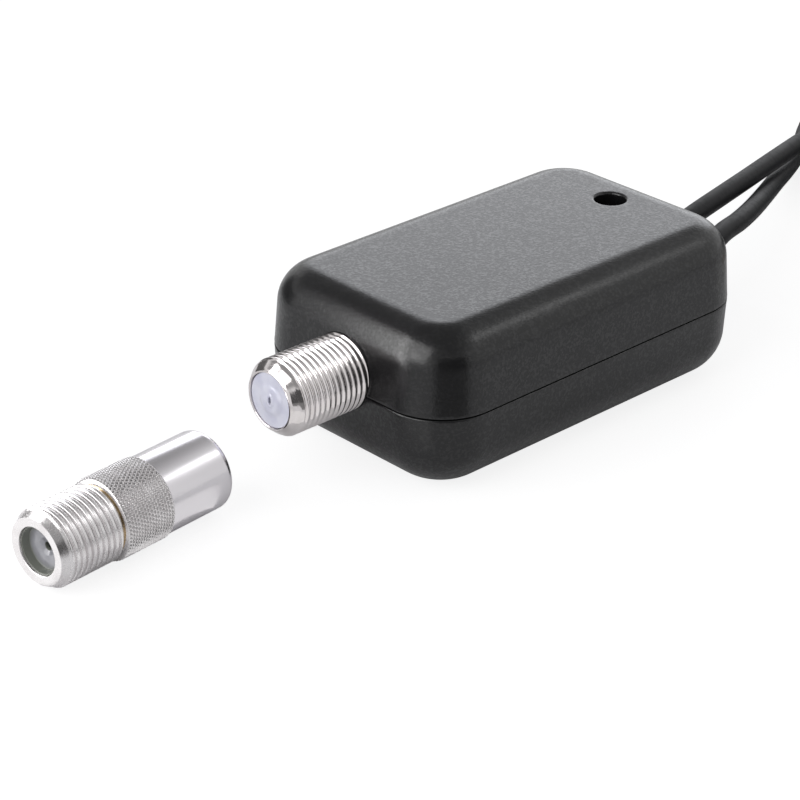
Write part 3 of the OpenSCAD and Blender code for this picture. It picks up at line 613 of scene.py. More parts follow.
@dataclass
class Surface:
    """A closed grid of points: round in its first direction, and in its second round or ending in two points."""

    points: Array
    ring: bool = False

    @classmethod
    def turned(cls, axis: Axis, corners: Rows, segments: int, closed: bool = False, steps: int = 5) -> "Surface":
        """A line of corners (distance, radius, corner radius), softened and turned about an axis."""
        line = soften(corners, closed, steps)
        return cls(revolve(axis, line[:, 0], line[:, 1], segments), closed)

    @classmethod
    def strung(cls, axis: Axis, parts: Sequence[tuple[Array, Array]], segments: int) -> "Surface":
        """A ring-shaped surface of parts in a row, each with distances, and with radii by ring or angle and ring."""
        radius = np.hstack([np.broadcast_to(r, (segments, len(s))) for s, r in parts])
        return cls(revolve(axis, np.concatenate([s for s, _ in parts]), radius, segments), True)

    @classmethod
    def capped(cls, axis: Axis, grid: Array, ends: Sequence[tuple[float, float]]) -> "Surface":
        """A tube closed by a point at both ends, which lie along and across the axis as given."""
        first, last = (np.broadcast_to(axis.place(*end, 0.0), (len(grid), 3))[:, None] for end in ends)
        return cls(np.hstack([first, grid, last]))

    def faces(self) -> Array:
        """Corner indices of the grid's four-sided faces, turned so that they face outward.

        Returns:
            Rows of four indices.
        """
        rows, columns = self.points.shape[:2]
        corners = quads((rows, columns), (rows, columns if self.ring else columns - 1))
        flat = self.points.reshape(-1, 3)
        a, b, c, d = (flat[corners[:, n]] - flat.mean(0) for n in range(4))
        volume = np.einsum("ij,ij->", a, np.cross(b, c)) + np.einsum("ij,ij->", a, np.cross(c, d))
        return corners if volume > 0 else corners[:, ::-1]


def add_object(name: str, data: bpy.types.ID) -> bpy.types.Object:
    """Puts new data into the scene.

    Args:
        name: name of the object.
        data: a mesh, curve, lamp or camera.

    Returns:
        The object, at the origin.
    """
    item = bpy.data.objects.new(name, data)
    bpy.context.scene.collection.objects.link(item)
    return item


def add_marks(mesh: bpy.types.Mesh, name: str, values: Array) -> None:
    """Keeps one value for each point of a mesh as an attribute."""
    mesh.attributes.new(name, "FLOAT", "POINT").data.foreach_set("value", np.asarray(values, np.float32))


def smooth(mesh: bpy.types.Mesh, sharp: float) -> None:
    """Shades a mesh smooth up to an angle in degrees."""
    mesh.shade_smooth()
    mesh.set_sharp_from_angle(angle=math.radians(sharp))


def make_mesh(name: str, surfaces: Sequence[Surface], sharp: float, marks: Array | None = None) -> bpy.types.Object:
    """Writes surfaces into one mesh object, with poles welded.

    Args:
        name: name of the object.
        surfaces: the closed surfaces that it holds.
        sharp: angle in degrees past which an edge stays sharp.
        marks: a value from 0 to 1 for each point, kept as a point attribute that mixes in a finish's extra colour: worn
            plating on the adapter's body, painted shade in the adapter's disc.

    Returns:
        The object, at the origin and in the scene.
    """
    starts = np.cumsum([0] + [s.points.shape[0] * s.points.shape[1] for s in surfaces[:-1]])
    points = np.vstack([s.points.reshape(-1, 3) for s in surfaces]) * MM
    faces = np.vstack([s.faces() + start for s, start in zip(surfaces, starts)])
    mesh = bpy.data.meshes.new(name)
    mesh.from_pydata(points, [], faces.tolist())
    if marks is not None:
        add_marks(mesh, "wear_and_shade", marks)
    work = bmesh.new()
    work.from_mesh(mesh)
    bmesh.ops.remove_doubles(work, verts=work.verts, dist=1e-7)
    work.to_mesh(mesh)
    work.free()
    smooth(mesh, sharp)
    return add_object(name, mesh)


def cut(item: bpy.types.Object, tools: Sequence[Surface], sharp: float) -> None:
    """Takes the tools' volumes out of a piece.

    Args:
        item: the piece.
        tools: closed surfaces to cut with.
        sharp: angle in degrees past which an edge stays sharp.
    """
    tool = make_mesh("cutter", tools, sharp)
    bite = item.modifiers.new("openings", "BOOLEAN")
    bite.operation, bite.solver, bite.object = "DIFFERENCE", "EXACT", tool
    bpy.context.view_layer.update()
    opened = bpy.data.meshes.new_from_object(item.evaluated_get(bpy.context.evaluated_depsgraph_get()))
    item.modifiers.clear()
    item.data = opened
    opened.name = item.name
    bpy.data.objects.remove(tool)
    smooth(opened, sharp)


def show(item: bpy.types.Object, finish: Finish, body: Body, nodes: Sequence[str]) -> bpy.types.Object:
    """Dresses a new piece and hands it to the part.

    Args:
        item: the piece.
        finish: its finish.
        body: the body that it moves with.
        nodes: solids that it stands for.

    Returns:
        The same piece.
    """
    item.data.materials.clear()
    item.data.materials.append(finish.material())
    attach(item, body.value)
    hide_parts(*nodes)
    size = len(item.data.polygons) if item.type == "MESH" else len(item.data.splines[0].bezier_points)
    log.info("%s: %d faces or points, %s, for %s", item.name, size, finish.name, ", ".join(nodes))
    return item


def dress_solids() -> None:
    """Gives every solid that shows as it is its finish."""
    for node, finish in CAD_FINISHES.items():
        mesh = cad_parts[node].data
        mesh.materials.clear()
        mesh.materials.append(finish.material())
        log.info("%s: solid kept, %s", node, finish.name)


@dataclass(frozen=True)
class Thread:
    """A 32 per inch thread: its height is a soft, flat-topped wave of along / pitch - angle / turn.

    Fields:
        flank: share of half a pitch over which it rises.
        root: share of half a pitch that is flat at the root.
    """

    pitch: float = 0.794
    depth: float = 0.25
    flank: float = 0.72
    root: float = 0.08

    def height(self, angle: Array, along: Array) -> Array:
        """Share of the thread's depth at each point, 1 on the crest and 0 at the root.

        Args:
            angle: turn about the axis in radians.
            along: distance along the axis.

        Returns:
            An array of the shape that both broadcast to.
        """
        phase = np.mod(along / self.pitch - angle / TURN, 1)
        wave = np.clip((np.abs(2 * phase - 1) - self.root) / self.flank, 0, 1)
        return wave * wave * (3 - 2 * wave)

    def rod(self, along: Array, crest: float, start: Rows, end: Rows, segments: int) -> Array:
        """Radius of a threaded rod: the least of the thread's wave and of a cone at either end.

        Args:
            along: distances along the axis.
            crest: radius over the crests.
            start: distances and radii of the first cone, which has no thread up to its second pair.
            end: distances and radii of the last cone.
            segments: steps in the turn.

        Returns:
            Radii by angle and distance.
        """
        wave = crest - self.depth * (1 - self.height(angles(segments), along))
        cone = np.minimum(*(np.interp(along, *np.transpose(pairs)) for pairs in (start, end)))
        return np.where(along <= start[1][0], cone, np.minimum(wave, cone))


THREAD = Thread()


# Sub-assemblies


@dataclass(frozen=True)
class ShellForm:
    """One shell: 1 for the top or -1 for the bottom, round of its far edge, lean of its walls, and far height."""

    way: int
    edge_round: float
    draft: float
    far: float


@dataclass
class Housing:
    """Two drafted shells with rounded edges that meet at a fine groove.

    Fields:
        corner: radius of the plan's corners at the parting.
        lip_reach: how far the lip lies out from the corners' axes.
        stops, flat_edge, window_stops: how far from rounds lie rings that keep flat faces flat.
        past: how far the rods that cut the holes reach outside.
        peg_room: free length of a post's bore past its peg.
    """

    length: float = 54.8
    width: float = 33.2
    parting: float = 10.3
    corner: float = 7.7
    top: ShellForm = ShellForm(1, 4.4, 0.076, 20.4)
    base: ShellForm = ShellForm(-1, 5.8, 0.044, 0.0)
    wall: float = 1.8
    lip_height: float = 1.2
    lip_reach: float = 6.7
    snug: float = 0.05
    edge_break: float = 0.2
    groove: float = 0.12
    stops: tuple[float, float] = (0.6, 0.4)
    flat_edge: float = 0.35
    window: tuple[float, float] = (19.0, 0.5)
    window_r: float = 2.0
    window_round: float = 0.34
    window_stops: tuple[float, float] = (0.5, 0.3)
    jack_z: float = 12.0
    jack_hole: float = 4.76
    jack_hole_end: float = -24.42
    lead_y: float = 3.5
    lead_hole: float = 1.45
    lead_depth: float = 2.1
    past: float = 1.0
    post: tuple[float, float] = (15.9, 8.0)
    post_r: float = 2.3
    peg_r: float = 1.0
    board: tuple[float, float] = (5.5, 6.7)
    peg_depth: float = 4.0
    peg_room: float = 0.3
    outer_steps: int = 22
    inner_steps: int = 8
    sharp: float = 38.0
    plan: RoundedPlan = RoundedPlan()

    def carry(self, section: Array) -> Array:
        """A section carried round the plan: each point goes out from the corner axes by its first coordinate.

        Args:
            section: rows of reach and height.

        Returns:
            A grid of points by plan step and section point.
        """
        reach, z = section[:, 0], section[:, 1]
        flat = self.plan.rings(self.length / 2 - self.corner + reach, self.width / 2 - self.corner + reach, reach)
        return np.dstack([flat, np.broadcast_to(z, flat.shape[:2])])

    def edge(self, form: ShellForm, skin: float, steps: int) -> Array:
        """Quarter round of a shell's far edge, from its wall to its roof or floor.

        Args:
            form: which shell.
            skin: how far it lies inside the outside.
            steps: pieces in the round.

        Returns:
            Rows of reach and height.
        """
        a, r = np.linspace(0, QUARTER, steps + 1), form.edge_round - skin
        z = form.far - form.way * (skin + r - r * np.sin(a))
        lean = form.draft * form.way * (z - self.parting)
        return np.column_stack([self.corner - skin - lean - r + r * np.cos(a), z])

    def outside(self, form: ShellForm) -> Array:
        """Outside of a shell: broken edge at the groove, wall and far edge.

        Args:
            form: which shell.

        Returns:
            Rows of reach and height, from the parting to just past the far edge's round.
        """
        a, e = np.linspace(0, QUARTER, 6), self.edge_break
        z = self.parting + form.way * (self.groove / 2 + e - e * np.cos(a))
        rim = np.column_stack([self.corner - e + e * np.sin(a), z])
        edge = self.edge(form, 0, self.outer_steps)
        z = np.array([self.parting + form.way * self.stops[0], edge[0, 1] - form.way * self.stops[1]])
        wall = np.column_stack([self.corner - form.draft * form.way * (z - self.parting), z])
        return np.vstack([rim, wall, edge, [edge[-1] - [self.flat_edge, 0]]])

    def window_rings(self, outline: Array) -> Array:
        """Rings from the flat roof into the round window and down its wall.

        Each ring is a circle whose points face the roof's outline, so that no face folds over.

        Args:
            outline: the roof's outline, by plan step.

        Returns:
            A grid of points by plan step and ring.
        """
        way = outline[:, :2] - self.window
        way /= np.linalg.norm(way, axis=1, keepdims=True)
        a, roof, under = np.linspace(0, QUARTER, 6), self.top.far, self.top.far - self.wall
        beside, above = self.window_stops
        r = self.window_r + np.concatenate([[beside], self.window_round * (1 - np.sin(a)), [0, 0]])
        z = np.concatenate([[roof], roof - self.window_round * (1 - np.cos(a)), [under + above, under]])
        flat = np.array(self.window) + r[None, :, None] * way[:, None]
        return np.dstack([flat, np.broadcast_to(z, flat.shape[:2])])

    def top_shell(self) -> Surface:
        """Outside, window, inside and rebate of the top shell.

        Returns:
            One ring-shaped grid.
        """
        rebate, reach = self.parting + self.lip_height + self.snug, self.lip_reach + self.snug
        key = [
            [self.corner - self.wall - self.top.draft * self.lip_height, rebate], [reach, rebate],
            [reach, self.parting + self.groove / 2],
        ]
        outside = self.carry(self.outside(self.top))
        inside = self.carry(np.vstack([self.edge(self.top, self.wall, self.inner_steps)[::-1], key]))
        return Surface(np.hstack([outside, self.window_rings(outside[:, -1]), inside]), ring=True)

    def bottom_shell(self) -> Surface:
        """Outside, lip and inside of the bottom shell.

        Returns:
            One grid that ends in the middle of its floor.
        """
        top, inner = self.parting + self.lip_height, self.corner - self.wall
        lip = [
            [self.lip_reach, self.parting - self.groove / 2], [self.lip_reach, top], [inner, top],
            [inner, self.parting],
        ]
        inside = self.edge(self.base, self.wall, self.inner_steps)
        rows = self.carry(np.vstack([self.outside(self.base)[::-1], lip, inside]))
        return Surface.capped(Axis.upright((0, 0, 0)), rows, ((0, 0), (self.wall, 0)))

    def posts(self, top: bool) -> list[Surface]:
        """Four hollow posts under the roof, or four pegs on the floor.

        Args:
            top: whether they are the top shell's.

        Returns:
            One surface for each.
        """
        (low, high), (x, y), sunk = self.board, self.post, self.wall / 2
        peg_end, hole = high + self.peg_depth, self.peg_r + self.snug
        if top:
            end, under = peg_end + self.peg_room, self.top.far - sunk
            rows = [
                [end, 0, 0], [end, hole, 0], [high, hole, 0.1], [high, self.post_r, 0.1], [under, self.post_r, 0],
                [under, 0, 0],
            ]
        else:
            rows = [
                [sunk, 0, 0], [sunk, self.post_r, 0], [low, self.post_r, 0.1], [low, self.peg_r, 0],
                [peg_end, self.peg_r, 0.3], [peg_end, 0, 0],
            ]
        spots = [(sx * x, sy * y, 0.0) for sx in (-1, 1) for sy in (-1, 1)]
        return [Surface.turned(Axis.upright(spot), rows, 32) for spot in spots]

    def openings(self) -> list[Surface]:
        """Rods that cut the ways out for the jack and the two leads.

        Returns:
            One surface for each.
        """
        end, past = self.length / 2, self.past
        rods = [((-end - past, 0, self.jack_z), self.jack_hole_end + end + past, self.jack_hole)]
        for side in (-1, 1):
            start = (end - self.lead_depth, side * self.lead_y, self.parting)
            rods.append((start, self.lead_depth + past, self.lead_hole))
        return [
            Surface.turned(Axis.level(start), [[0, 0, 0], [0, r, 0], [length, r, 0], [length, 0, 0]], 96)
            for start, length, r in rods
        ]

    def build(self) -> None:
        """Builds and dresses both shells."""
        for name, shell, node, top in (
            ("housing_top", self.top_shell(), "top_shell", True),
            ("housing_base", self.bottom_shell(), "bottom_shell", False),
        ):
            item = make_mesh(name, [shell], self.sharp)
            cut(item, self.openings(), self.sharp)
            inner = make_mesh(name + "_posts", self.posts(top), self.sharp)
            show(item, HOUSING_BLACK, Body.AMPLIFIER, [node])
            inner.data.materials.append(HOUSING_BLACK.material())
            inner.parent = item


@dataclass
class InputJack:
    """Threaded barrel with a bevelled rim, its block behind the wall, and its insulating disc.

    Fields:
        pilot: length of the smooth cone before the thread.
        run_in, run_out: lengths over which the thread starts and ends.
        hole_r, slot_half: half length and half width of the slot for the plug's pin.
        squeeze_fade: width of the zone round the slot in which the face turns round again.
        leg_drop: heights of the legs' ends from the axis.
    """

    axis: Axis = Axis.level((-38.3, 0.0, 12.0))
    thread_r: float = 4.71
    rim_r: float = 3.6
    pilot: float = 1.0
    run_in: float = 0.35
    run_out: float = 0.4
    thread_end: float = 11.9
    shank_r: float = 4.26
    bore_r: float = 3.4
    block_from: float = 13.88
    block_len: float = 7.0
    block_half: float = 5.3
    block_corner: float = 0.4
    block_edge: float = 0.2
    block_sunk: float = 0.5
    disc_r: float = 3.35
    disc_end: float = 20.6
    recess: float = 0.2
    ring_r: float = 1.5
    hole_r: float = 0.5
    slot_half: float = 0.2
    squeeze_fade: float = 0.6
    contact_r: float = 0.9
    contact_from: float = 1.0
    legs: tuple[tuple[float, float], ...] = ((17.58, 3.9), (19.48, 3.9))
    leg_r: float = 0.5
    leg_drop: tuple[float, float] = (-7.3, -3.9)
    segments: int = 144

    def barrel(self) -> Surface:
        """Rim, smooth pilot, thread and shank. The pilot is a cone up to the thread's root.

        Returns:
            A ring-shaped grid.
        """
        rim, bore, crest, end = self.rim_r, self.bore_r, self.thread_r, self.thread_end
        along = np.concatenate([np.linspace(0, self.pilot, 8), np.linspace(self.pilot, end, 400)[1:]])
        start = [[0, rim + 0.06], [self.pilot, crest - THREAD.depth + 0.03], [self.pilot + self.run_in, crest]]
        thread = THREAD.rod(along, crest, start, [[end - self.run_out, crest], [end, self.shank_r]], self.segments)
        front = np.array([[0.25, bore], [0.05, bore], [0.0, bore + 0.05], [0.0, rim - 0.04], [0.02, rim + 0.03]])
        along[0] = 0.07
        inside = self.block_from + self.block_sunk
        tail = np.array([[inside, self.shank_r], [inside, bore]])
        return Surface.strung(self.axis, [front.T, (along, thread), tail.T], self.segments)

    def feet(self) -> list[Surface]:
        """Four legs that go down from the block through the board.

        Returns:
            One surface for each.
        """
        low, high = self.leg_drop
        rows = [[low, 0, 0], [low, self.leg_r, 0.15], [high, self.leg_r, 0], [high, 0, 0]]
        spots = [self.axis.place(s, side * y, 0.0) for s, y in self.legs for side in (-1, 1)]
        return [Surface.turned(Axis.upright(tuple(spot)), rows, 24) for spot in spots]

    def block(self) -> Surface:
        """Block behind the wall: a rounded square outside and the round bore inside.

        Returns:
            A ring-shaped grid.
        """
        e, start, end = self.block_edge, self.block_from, self.block_from + self.block_len
        half = self.block_half - np.array([e, 0, 0, e])
        outside = RoundedPlan(16, 16, 6).rings(half, half, self.block_corner)
        way = outside[:, 1] / np.linalg.norm(outside[:, 1], axis=1, keepdims=True)
        flat = np.hstack([outside, np.repeat(way[:, None] * self.bore_r, 2, 1)])
        along = np.array([start, start + e, end - e, end, end, start])
        return Surface(self.axis.place(along, flat[..., 0], flat[..., 1]), ring=True)

    def disc(self) -> Surface:
        """Insulator: a shallow dished face with a raised ring and a narrow slot for the plug's pin.

        The hole is turned round and then squeezed sideways, by a share that fades out to the ring's middle.

        Returns:
            A ring-shaped grid.
        """
        dish, hole, inside = self.recess + 0.05, self.hole_r, self.contact_from
        line = soften(
            [
                [inside, hole, 0], [0.03, hole, 0.06], [0.0, 0.72, 0.1], [0.08, 0.92, 0.08], [0.08, self.ring_r, 0.3],
                [dish, 2.0, 0.3], [dish, 2.7, 0.3], [self.recess, self.disc_r, 0.06], [self.disc_end, self.disc_r, 0],
                [self.disc_end, self.contact_r, 0], [inside, self.contact_r, 0],
            ],
            closed=True,
        )
        local = revolve(self.axis, line[:, 0], line[:, 1], 96) - np.array(self.axis.origin)
        narrow, share = self.slot_half / hole, np.clip((line[:, 1] - hole) / self.squeeze_fade, 0, 1)
        local[..., 1] *= np.where(line[:, 0] > inside - 0.01, 1, narrow + (1 - narrow) * share)
        return Surface(local + np.array(self.axis.origin), ring=True)

    def build(self) -> None:
        """Builds and dresses the barrel and the disc."""
        barrel = make_mesh("jack_barrel_threaded", [self.barrel(), self.block(), *self.feet()], 40)
        show(barrel, JACK_NICKEL, Body.AMPLIFIER, ["jack_barrel"])
        disc = make_mesh("jack_disc", [self.disc()], 40)
        show(disc, JACK_DISC, Body.AMPLIFIER, ["jack_insulator"])


@dataclass
class Adapter:
    """Loose coupler: threaded and knurled body, smooth sleeve, and a recessed disc.

    Fields:
        knurl_lead: length over which a groove of the knurl moves by one tooth.
        knurl_crest: how far the knurl's waves rise past its flat tops.
        knurl_core: inner radii at the knurl's two ends.
        wear: length behind the thread over which the plating ends.
        contact: where the hollow for the contact starts and ends, and its radius.
        dark_from: radius from which the cup has painted shade.
    """

    axis: Axis = Axis.level((-71.0033, 0.5, 5.0), 5.0)
    thread: Thread = Thread(depth=0.32, flank=0.52)
    thread_r: float = 4.67
    rim_r: float = 4.02
    bevel: float = 0.9
    bevel_end: float = 4.47
    run_in: float = 0.25
    run_out: float = 0.35
    thread_end: float = 8.75
    groove_r: float = 4.25
    knurl_from: float = 9.1
    knurl_to: float = 16.1
    knurl_r: float = 5.0
    knurl_depth: float = 0.22
    knurl_teeth: int = 62
    knurl_lead: float = 0.83
    knurl_crest: float = 1.35
    knurl_bevel: float = 0.3
    knurl_core: tuple[float, float] = (3.5, 4.5)
    bore_r: float = 2.9
    bore_end: float = 5.3
    thread_sunk: float = 0.6
    wear: float = 0.08
    seat: float = 13.1
    neck_r: float = 4.4
    neck_short: float = 0.2
    sleeve_r: float = 4.8
    sleeve_bore: float = 4.1
    sleeve_end: float = 25.4
    sleeve_round: float = 0.975
    recess: float = 1.3
    cup_r: float = 2.85
    dark_from: float = 2.45
    hole_r: float = 0.5
    contact: tuple[float, float, float] = (2.1, 10.2, 0.9)
    pin_hole: float = 1.22
    segments: int = 144

    def threaded(self) -> tuple[Surface, Array]:
        """Rim, bevel, thread and undercut.

        Returns:
            The ring-shaped grid, and how far the plating has worn off at each point.
        """
        rim, bore, crest, end, groove = self.rim_r, self.bore_r, self.thread_r, self.thread_end, self.groove_r
        along = np.concatenate([np.linspace(0, self.bevel, 10), np.linspace(self.bevel, end, 290)[1:]])
        start = [[0, rim], [self.bevel, self.bevel_end], [self.bevel + self.run_in, crest]]
        thread = self.thread.rod(along, crest, start, [[end - self.run_out, crest], [end, groove]], self.segments)
        lip = [[0.12, bore], [0.03, bore + 0.04], [0, bore + 0.14], [0, rim - 0.08]]
        front, inside = np.array([[self.bore_end, bore], *lip]), self.knurl_from + self.thread_sunk
        tail = np.array([[end + 0.05, groove], [self.knurl_from, groove], [inside, groove], [inside, bore]])
        s = np.concatenate([front[:, 0], along, tail[:, 0]])
        wear_and_shade = np.clip((s - end) / self.wear, 0, 1)
        surface = Surface.strung(self.axis, [front.T, (along, thread), tail.T], self.segments)
        return surface, np.tile(wear_and_shade, self.segments)

    def knurled(self) -> Surface:
        """Diamond knurl: two crossed sets of grooves, so the height is the lesser of two triangle waves.

        Returns:
            A ring-shaped grid.
        """
        segments, first, last = self.knurl_teeth * 8, self.knurl_from, self.knurl_to
        along = first + np.linspace(0, last - first, 90)
        turns = (np.arange(segments) / segments * self.knurl_teeth)[:, None]
        waves = [1 - np.abs(2 * np.mod(turns + way * along / self.knurl_lead, 1) - 1) for way in (-1, 1)]
        height = np.clip(self.knurl_crest * np.minimum(*waves), 0, 1)
        edge = np.minimum(along - first, last - along)
        r = np.minimum(self.knurl_r - self.knurl_depth * (1 - height), self.knurl_r - self.knurl_bevel + edge)
        ends = [([s], [core]) for s, core in zip((first, last), self.knurl_core)]
        return Surface.strung(self.axis, [ends[0], (along, r), ends[1]], segments)

    def sleeve(self) -> Surface:
        """Smooth sleeve with a rounded mouth.

        Returns:
            A ring-shaped grid.
        """
        start = self.knurl_to - self.neck_short
        rows = [
            [self.seat, self.sleeve_bore, 0], [self.seat, self.neck_r, 0], [start, self.neck_r, 0],
            [start, self.sleeve_r, 0.08], [self.sleeve_end, self.sleeve_r, self.sleeve_round],
            [self.sleeve_end, self.sleeve_bore, 0.15],
        ]
        return Surface.turned(self.axis, rows, 160, closed=True, steps=8)

    def disc(self) -> tuple[Surface, Array]:
        """Recessed insulating cup: a disc with the pin's hole in a shallow dish, and painted shade, a darker
        grey-green, from the face's outer ring up the bore and in the pin's hole.

        Returns:
            The ring-shaped grid, and how much painted shade each point has.
        """
        segments, face, hole, cup = 72, self.recess, self.hole_r, self.cup_r
        inside, back, contact_r = self.contact
        line = soften(
            [
                [inside, hole, 0], [face + 0.42, hole, 0.06], [face + 0.08, 1.1, 0.15], [face, 1.7, 0.2],
                [face, 2.6, 0.1], [0.3, 2.72, 0.05], [0.3, cup, 0.05], [self.seat, cup, 0],
                [self.seat, self.pin_hole, 0], [back, self.pin_hole, 0], [back, contact_r, 0], [inside, contact_r, 0],
            ],
            closed=True,
        )
        # Painted shade in the recess: full from dark_from outward up the bore, and in the pin's hole
        rim, depth = (line[:, 1] - self.dark_from) / 0.12, (hole + 0.04 - line[:, 1]) / 0.03
        dark = np.clip(np.maximum(rim, depth), 0, 1)
        return Surface(revolve(self.axis, line[:, 0], line[:, 1], segments), ring=True), np.tile(dark, segments)

    def build(self) -> None:
        """Builds and dresses the adapter's pieces."""
        threaded, wear_and_shade = self.threaded()
        knurled = self.knurled()
        marks = np.concatenate([wear_and_shade, np.zeros(knurled.points.shape[0] * knurled.points.shape[1])])
        body = make_mesh("adapter_body_threaded", [threaded, knurled], 50, marks)
        show(body, ADAPTER_NICKEL, Body.ADAPTER, ["adapter_body"])
        sleeve = make_mesh("adapter_barrel", [self.sleeve()], 40)
        show(sleeve, SLEEVE_NICKEL, Body.ADAPTER, ["adapter_sleeve"])
        cup, dark = self.disc()
        disc = make_mesh("adapter_disc", [cup], 40, dark)
        show(disc, ADAPTER_DISC, Body.ADAPTER, ["adapter_insulator"])


@dataclass
class OutputPlug:
    """Aerial plug on the output lead: ribbed boot and free-turning coupling nut.

    Fields:
        relief_r, relief_taper: radius of the strain relief at its end, and its growth along it.
        post_sunk: how far the post reaches into the boot.
        bevel_from: how far inside the flats the nut's end bevels start.
        snug, turn_room: room round the post in the boot and in the nut.
    """

    axis: Axis = Axis.level((84.0, -15.2, 6.7), 180.0)
    relief_r: float = 2.1
    relief_taper: float = 0.15
    boot_tail: float = 6.0
    boot_front: float = 17.0
    boot_r: float = 6.7
    neck_r: float = 3.3
    snug: float = 0.05
    turn_room: float = 0.1
    post_sunk: float = 5.0
    nut_from: float = 17.1
    nut_to: float = 28.3
    nut_flats: float = 11.0
    nut_corner: float = 0.12
    bevel_from: float = 0.15
    bevel_slope: float = 1.4
    nut_bore: float = 4.76
    mouth_slope: float = 0.9
    neck_len: float = 3.0
    run_out: float = 0.4

    def boot(self) -> Surface:
        """Moulded boot: a tapered strain relief with rings, then a thick part with three finger grooves.

        Returns:
            A grid that ends on the axis.
        """
        tail, front, hole = self.boot_tail, self.boot_front, self.neck_r + self.snug
        sunk = front - self.post_sunk
        rows = [
            [0, 0, 0], [0, self.relief_r, 0.3],
            *grooves((1.6, 3.3, 5.0), (0.4, 0.3), 0.35, 0.15, self.relief_r, self.relief_taper),
            [tail, self.relief_r + self.relief_taper * tail, 0.3], [tail, self.boot_r, 1.0],
            *grooves((8.75, 11.5, 14.25), (0.5, 0.42), 0.5, 0.2, self.boot_r),
            [front, self.boot_r, 0.8], [front, hole, 0.1], [sunk, hole, 0], [sunk, 0, 0],
        ]
        return Surface.turned(self.axis, rows, 96, steps=4)

    def nut(self) -> Surface:
        """Six-sided nut: its outside is the lesser of a rounded hexagon and two bevel cones, its inside a thread.

        Returns:
            A ring-shaped grid.
        """
        segments, half, first, last = 192, self.nut_flats / 2, self.nut_from, self.nut_to
        angle = angles(segments)
        side = np.mod(angle + TURN / 12, TURN / 6) - TURN / 12
        hexagon = np.minimum(half / np.cos(side), half / math.cos(TURN / 12) - self.nut_corner)
        out = np.concatenate([np.linspace(first, first + 1, 8), np.linspace(last - 1, last, 8)])
        edge = np.minimum(out - first, last - out)
        outer = np.minimum(hexagon, half - self.bevel_from + edge * self.bevel_slope)
        neck, hole = first + self.neck_len, self.neck_r + self.turn_room
        back = np.linspace(last, neck + self.run_out, 130)
        thread = self.nut_bore - THREAD.depth * THREAD.height(angle, back)
        inner = np.maximum(thread, self.nut_bore - (last - back) * self.mouth_slope)
        rest = np.array([[neck, self.nut_bore], [neck, hole], [first, hole]])
        return Surface.strung(self.axis, [(out, outer), (back, inner), rest.T], segments)

    def build(self) -> list[bpy.types.Object]:
        """Builds and dresses the plug.

        Returns:
            The pieces that go with the output lead.
        """
        boot = make_mesh("output_boot_ribbed", [self.boot()], 45)
        show(boot, PLUG_MOULDING, Body.AMPLIFIER, ["output_boot"])
        nut = make_mesh("output_coupling_nut", [self.nut()], 35)
        show(nut, PLUG_NICKEL, Body.NUT, ["output_nut"])
        return [boot, nut, *(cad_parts[n] for n in ("output_post", "output_insulator", "output_conductor"))]


